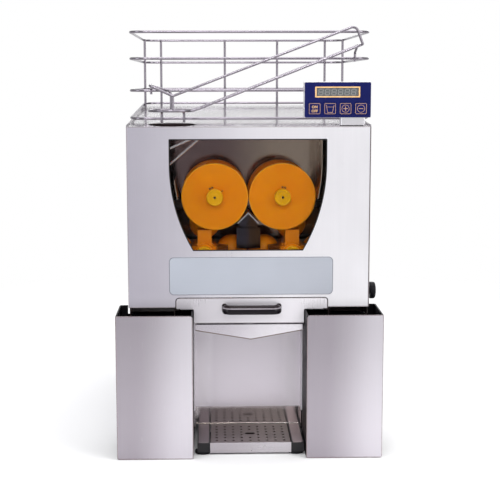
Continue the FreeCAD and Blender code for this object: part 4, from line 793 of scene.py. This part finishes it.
# display frame, digits, key outlines and symbols
SEG = {"a": ((0, 2), (1, 2)), "b": ((1, 2), (1, 1)), "c": ((1, 1), (1, 0)), "d": ((0, 0), (1, 0)), "e": ((0, 1), (0, 0)),
       "f": ((0, 2), (0, 1)), "g": ((0, 1), (1, 1))}


def bar(bm, p, q, half, d0, d1, point=True):
    """A flat bar from p to q with pointed or square ends."""
    dx, dz = q[0] - p[0], q[1] - p[1]
    length = math.hypot(dx, dz)
    ux, uz = dx / length, dz / length
    px, pz = -uz, ux
    s = half if point else 0.0
    pts = [(p[0], p[1])] if point else []
    pts += [(p[0] + ux * s + px * half, p[1] + uz * s + pz * half), (q[0] - ux * s + px * half, q[1] - uz * s + pz * half)]
    if point:
        pts.append((q[0], q[1]))
    pts += [(q[0] - ux * s - px * half, q[1] - uz * s - pz * half), (p[0] + ux * s - px * half, p[1] + uz * s - pz * half)]
    slab(bm, pts[::-1], d0, d1, "xz")


def make_panel_print():
    bm = bmesh.new()
    band(bm, rr(116.4, 195.6, 636.3, 655.2, 1.2), rr(119.0, 193.0, 638.6, 652.9, 0.6), -252.30, -251.95)
    piece("display_frame", bm, D["gold"], "housing")
    bm = bmesh.new()
    x = 122.4
    for _ in range(6):
        w, h, z0 = 7.4, 10.2, 640.6
        lean = 0.09

        def at(gx, gz):
            z = z0 + h * gz / 2.0
            return (x + w * gx + (z - z0) * lean, z)

        for (a, b) in SEG.values():
            p, q = at(*a), at(*b)
            dx, dz = q[0] - p[0], q[1] - p[1]
            n = math.hypot(dx, dz)
            p2 = (p[0] + dx / n * 0.35, p[1] + dz / n * 0.35)
            q2 = (q[0] - dx / n * 0.35, q[1] - dz / n * 0.35)
            bar(bm, p2, q2, 0.62, -251.68, -251.58)
        x += 11.55
    piece("display_digits", bm, D["segment"], "housing", smooth=None)

    keys = ((104.9, "key_on_off"), (132.1, "key_glass"), (159.3, "key_plus"), (186.5, "key_minus"))
    z0, z1, yk = 606.7, 626.7, -252.8
    for x0, body in keys:
        x1 = x0 + 21.6
        cx, cz = (x0 + x1) / 2, (z0 + z1) / 2
        bm = bmesh.new()
        band(bm, rr(x0 + 0.9, x1 - 0.9, z0 + 0.7, z1 - 0.7, 2.2), rr(x0 + 1.55, x1 - 1.55, z0 + 1.35, z1 - 1.35, 1.7), yk - 0.07, yk + 0.02)
        if body == "key_glass":
            t, b, zt_, zb_ = 7.0, 4.2, cz + 6.6, cz - 6.6
            bar(bm, (cx - t, zt_), (cx - b, zb_), 0.34, yk - 0.07, yk + 0.02, False)
            bar(bm, (cx + t, zt_), (cx + b, zb_), 0.34, yk - 0.07, yk + 0.02, False)
            bar(bm, (cx - b - 0.4, zb_), (cx + b + 0.4, zb_), 0.34, yk - 0.07, yk + 0.02, False)
            bar(bm, (cx - 6.0, cz + 2.9), (cx + 6.0, cz + 2.9), 0.28, yk - 0.07, yk + 0.02, False)
        elif body in ("key_plus", "key_minus"):
            n = 32
            ring = [[(cx + r * math.cos(2 * math.pi * i / n), cz + r * math.sin(2 * math.pi * i / n)) for i in range(n)] for r in (6.7, 6.05)]
            band(bm, ring[0], ring[1], yk - 0.07, yk + 0.02)
            bar(bm, (cx - 4.0, cz), (cx + 4.0, cz), 0.48, yk - 0.07, yk + 0.02, False)
            if body == "key_plus":
                bar(bm, (cx, cz + 0.48), (cx, cz + 4.0), 0.48, yk - 0.07, yk + 0.02, False)
                bar(bm, (cx, cz - 0.48), (cx, cz - 4.0), 0.48, yk - 0.07, yk + 0.02, False)
        piece(body + "_print", bm, D["line"], body, smooth=None)
        if body == "key_on_off":
            for word, dz, size in (("ON", 0.9, 6.4), ("OFF", -6.2, 6.4)):
                t = bpy.data.curves.new("word_" + word, "FONT")
                t.body = word
                t.size = size * MM
                t.align_x = "CENTER"
                t.extrude = 0.04 * MM
                t.offset = 0.10 * MM
                t.resolution_u = 4
                o = bpy.data.objects.new("word_" + word, t)
                scene.collection.objects.link(o)
                o.location = (cx * MM, (yk - 0.04) * MM, (cz + dz) * MM)
                o.rotation_euler = (math.radians(90), 0, 0)
                t.materials.append(D["gold"].m)
                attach(o, body)


make_panel_print()


# drum knobs with fluted sides, a dished face and a dark centre plug, and the marks on the discs beside them
def make_knobs():
    for up in ("upper", "lower"):
        for side in ("left", "right"):
            lo, hi = bx("drum_knob_%s_%s" % (up, side))
            c = ((lo.x + hi.x) * 500, 0.0, (lo.z + hi.z) * 500)

            def flute(a, r, k):
                return r - (0.30 * (0.5 + 0.5 * math.cos(30 * a)) if 2 <= k <= 4 else 0.0)

            bm = bmesh.new()
            prof = [(4.9, -238.05), (13.9, -238.05), (14.9, -238.9), (14.95, -244.0), (14.85, -250.2), (14.2, -251.5), (13.2, -252.1),
                    (12.2, -252.15), (11.5, -251.75), (6.0, -251.6), (5.2, -252.0), (4.0, -252.1), (2.6, -251.9), (2.3, -251.3),
                    (2.3, -247.0), (0.0, -247.0)]
            lathe(bm, prof, c, "y", 120, flute)
            piece("knob_%s_%s" % (up, side), bm, M["yellow"], "%s_%s_drum" % (up, side), smooth=38,
                  replaces=("drum_knob_%s_%s" % (up, side),))
            bm = bmesh.new()
            lathe(bm, [(2.25, -247.2), (2.25, -250.6), (1.9, -250.9), (1.0, -250.8), (0.0, -250.5)], c, "y", 24)
            piece("knob_plug_%s_%s" % (up, side), bm, D["mark"], "%s_%s_drum" % (up, side))
    for side, cx, marks in (("left", -60.5, ((120, 11), (104, 11), (38, 7))), ("right", 60.5, ((90, 11), (74, 11)))):
        bm = bmesh.new()
        for ang, wide in marks:
            a0 = math.radians(ang - wide / 2)
            pts_o, pts_i = [], []
            for i in range(5):
                a = a0 + math.radians(wide) * i / 4
                pts_o.append((cx + 18.8 * math.cos(a), 460 + 18.8 * math.sin(a)))
                pts_i.append((cx + 15.6 * math.cos(a), 460 + 15.6 * math.sin(a)))
            slab(bm, pts_o + pts_i[::-1], -238.25, -237.9, "xz")
        piece("disc_marks_" + side, bm, D["mark"], "upper_%s_drum" % side, smooth=None)


make_knobs()


# rubber seal round the window opening
def make_seal():
    cx, hw, zk, z0, z1, hb, rad = -1.6, 139.4, 520.0, 366.0, 564.4, 97.7, 305.2
    right = []
    ccx = cx + hw - rad
    for i in range(25):
        z = z0 + (zk - z0) * i / 24.0
        right.append((ccx + math.sqrt(rad * rad - (zk - z) ** 2), z))
    # the arc ends a little off the stated corner, so it's eased on to it
    ease = (cx + hb) - right[0][0]
    right = [(x + ease * (1 - i / 24.0) ** 2, z) for i, (x, z) in enumerate(right)]
    for z in (535.0, 550.0):
        right.append((cx + hw, z))
    for i in range(5):
        a = math.radians(90.0 * i / 4)
        right.append((cx + hw - 2 + 2 * math.cos(a), z1 - 2 + 2 * math.sin(a)))
    left = [(2 * cx - x, z) for x, z in reversed(right)]
    loop = right + left
    n = len(loop)

    def inset(d):
        out = []
        for i in range(n):
            x0, z0_ = loop[i - 1]
            x1, z1_ = loop[(i + 1) % n]
            tx, tz = x1 - x0, z1_ - z0_
            m = math.hypot(tx, tz) or 1.0
            out.append((loop[i][0] - tz / m * d, loop[i][1] + tx / m * d))
        return out

    bm = bmesh.new()
    f = face_to("xz")
    prof = ((0.0, -259.7), (0.5, -259.9), (1.3, -259.7), (1.7, -259.2), (1.8, -258.42), (0.0, -258.42))
    rows = [[bm.verts.new(f(p, y)) for p in inset(d + 0.02)] for d, y in prof]
    for a, b in zip(rows, rows[1:] + rows[:1]):
        for i in range(n):
            bm.faces.new((a[i], a[(i + 1) % n], b[(i + 1) % n], b[i]))
    piece("window_seal", bm, D["gasket"], "front_cover")


make_seal()


# thin raised rim round the label plate
def make_label_rim():
    bm = bmesh.new()
    f = face_to("xz")
    prof = ((0.0, -261.35), (0.15, -261.65), (0.9, -261.75), (1.25, -261.55), (1.3, -261.3))
    rows = []
    for d, y in prof:
        rows.append([bm.verts.new(f(p, y)) for p in rr(-142.0 + d, 149.8 - d, 287.0 + d, 355.0 - d, 8.0 - d, 8)])
    n = len(rows[0])
    for a, b in zip(rows, rows[1:] + rows[:1]):
        for i in range(n):
            bm.faces.new((a[i], a[(i + 1) % n], b[(i + 1) % n], b[i]))
    piece("label_rim", bm, D["rim"], "front_cover", smooth=40)


make_label_rim()


# button-head screws
def screw(bm, at, axis, sign, r=3.6, h=1.9):
    prof = [(r, 0.0), (r, 0.35), (r * 0.93, h * 0.62), (r * 0.74, h * 0.9), (r * 0.52, h), (r * 0.44, h), (r * 0.42, h * 0.35), (0.0, h * 0.30)]
    prof = [(a, sign * b) for a, b in prof]

    def hexed(a, q, k):
        if 5 <= k <= 6:
            return q * 0.93 / math.cos((a + math.pi / 6) % (math.pi / 3) - math.pi / 6)
        return q

    lathe(bm, prof, at, axis, 24, hexed)


def make_screws():
    bm = bmesh.new()
    for x in (-203.0, 0.0, 203.0):
        for z in (38.0, 583.0):
            screw(bm, (x, 307.0, z), "y", 1)
    for x in (-203.0, 203.0):
        for z in (220.0, 400.0):
            screw(bm, (x, 307.0, z), "y", 1)
    piece("screws_rear", bm, D["screw"], "housing", smooth=30)
    for side, s in (("left", -1), ("right", 1)):
        bm = bmesh.new()
        for y, z in ((-190.0, 560.0), (60.0, 560.0), (288.0, 560.0), (288.0, 300.0), (288.0, 50.0), (60.0, 50.0), (-150.0, 50.0)):
            screw(bm, (s * 215.0, y, z), "x", s)
        piece("screws_" + side, bm, D["screw"], "housing", smooth=30)
    bm = bmesh.new()
    for x, s in ((98.0, -1), (215.0, 1)):
        for z in (616.0, 655.0):
            screw(bm, (x, -236.0, z), "x", s, 2.4, 1.3)
    piece("screws_control_box", bm, D["screw"], "housing", smooth=30)


make_screws()


# ---------------------------------------------------------------- floor, lights, surroundings
def make_stage():
    bm = bmesh.new()
    rings, seg = (0.0, 0.4, 0.9, 1.6, 2.6, 4.2, 6.5), 72
    prev = None
    centre = bm.verts.new((0, 0, 0))
    for r in rings[1:]:
        loop = [bm.verts.new((r * math.cos(2 * math.pi * i / seg), r * math.sin(2 * math.pi * i / seg), 0)) for i in range(seg)]
        for i in range(seg):
            j = (i + 1) % seg
            if prev is None:
                bm.faces.new((centre, loop[i], loop[j]))
            else:
                bm.faces.new((prev[i], loop[i], loop[j], prev[j]))
        prev = loop
    me = bpy.data.meshes.new("floor")
    bm.to_mesh(me)
    bm.free()
    floor = bpy.data.objects.new("floor", me)
    scene.collection.objects.link(floor)
    floor.location = (0, 0, -0.0002)
    k = Mat("floor_pale")
    cloud = k.noise(k.at((1.5, 1.5, 1.5)), 1.0, 3.0)
    k.set(Base_Color=k.mix(cloud, (0.86, 0.86, 0.865), (0.885, 0.885, 0.89)), Roughness=0.75)
    k.p.inputs["Specular IOR Level"].default_value = 0.2
    c = k.xyz()
    rad = k.math("SQRT", k.math("ADD", k.math("MULTIPLY", c[0], c[0]), k.math("MULTIPLY", c[1], c[1])))
    far = k.span(rad, 0.5, 1.7, 0.0, 1.0, smooth=True)
    clear = k.nt.nodes.new("ShaderNodeBsdfTransparent")
    mixer = k.nt.nodes.new("ShaderNodeMixShader")
    k.link(far, mixer.inputs[0])
    k.link(k.p.outputs[0], mixer.inputs[1])
    k.link(clear.outputs[0], mixer.inputs[2])
    k.link(mixer.outputs[0], k.out.inputs[0])
    me.materials.append(k.m)


def area(name, loc, target, size, power, colour=(1, 1, 1)):
    d = bpy.data.lights.new(name, "AREA")
    d.shape = "RECTANGLE"
    d.size, d.size_y = size
    d.energy = power
    d.color = colour
    o = bpy.data.objects.new(name, d)
    scene.collection.objects.link(o)
    o.location = loc
    o.rotation_mode = "QUATERNION"
    o.rotation_quaternion = (Vector(target) - Vector(loc)).to_track_quat("-Z", "Y")
    return o


def make_lights():
    area("soft_top", (0.15, -0.25, 2.3), (0, -0.05, 0.3), (1.9, 1.5), 24)
    area("soft_right", (1.75, -1.55, 1.35), (0, -0.1, 0.4), (1.1, 1.6), 18, (1.0, 0.985, 0.97))
    area("soft_left", (-1.9, -1.3, 1.0), (0, -0.1, 0.35), (0.9, 1.5), 9, (0.95, 0.97, 1.0))
    area("soft_front", (-0.1, -2.7, 1.75), (0, -0.2, 0.40), (1.4, 0.6), 10)
    area("strip_front", (-0.25, -1.9, 1.9), (0, -0.2, 0.35), (0.7, 0.16), 7)
    area("soft_back", (0.3, 1.9, 1.5), (0, 0.1, 0.4), (1.6, 1.0), 12)


def make_world():
    w = bpy.data.worlds.new("studio")
    scene.world = w
    w.use_nodes = True
    nt = w.node_tree
    nt.nodes.clear()
    out = nt.nodes.new("ShaderNodeOutputWorld")
    tc = nt.nodes.new("ShaderNodeTexCoord")
    sep = nt.nodes.new("ShaderNodeSeparateXYZ")
    nt.links.new(tc.outputs["Generated"], sep.inputs[0])
    ramp = nt.nodes.new("ShaderNodeValToRGB")
    span = nt.nodes.new("ShaderNodeMapRange")
    span.inputs["From Min"].default_value = -1.0
    span.inputs["From Max"].default_value = 1.0
    nt.links.new(sep.outputs[2], span.inputs[0])
    nt.links.new(span.outputs[0], ramp.inputs[0])
    e = ramp.color_ramp.elements
    stops = [(0.0, 0.80), (0.47, 0.90), (0.60, 0.88), (0.68, 0.50), (0.78, 0.46), (0.86, 0.95), (1.0, 1.15)]
    while len(e) < len(stops):
        e.new(0.5)
    for item, (pos, v) in zip(e, stops):
        item.position = pos
        item.color = (v, v, v * 1.01, 1.0)
    bg = nt.nodes.new("ShaderNodeBackground")
    nt.links.new(ramp.outputs[0], bg.inputs[0])
    bg.inputs[1].default_value = 0.92
    white = nt.nodes.new("ShaderNodeBackground")
    white.inputs[0].default_value = (1, 1, 1, 1)
    white.inputs[1].default_value = 1.0
    path = nt.nodes.new("ShaderNodeLightPath")
    mixer = nt.nodes.new("ShaderNodeMixShader")
    nt.links.new(path.outputs["Is Camera Ray"], mixer.inputs[0])
    nt.links.new(bg.outputs[0], mixer.inputs[1])
    nt.links.new(white.outputs[0], mixer.inputs[2])
    nt.links.new(mixer.outputs[0], out.inputs[0])


make_stage()
make_lights()
make_world()
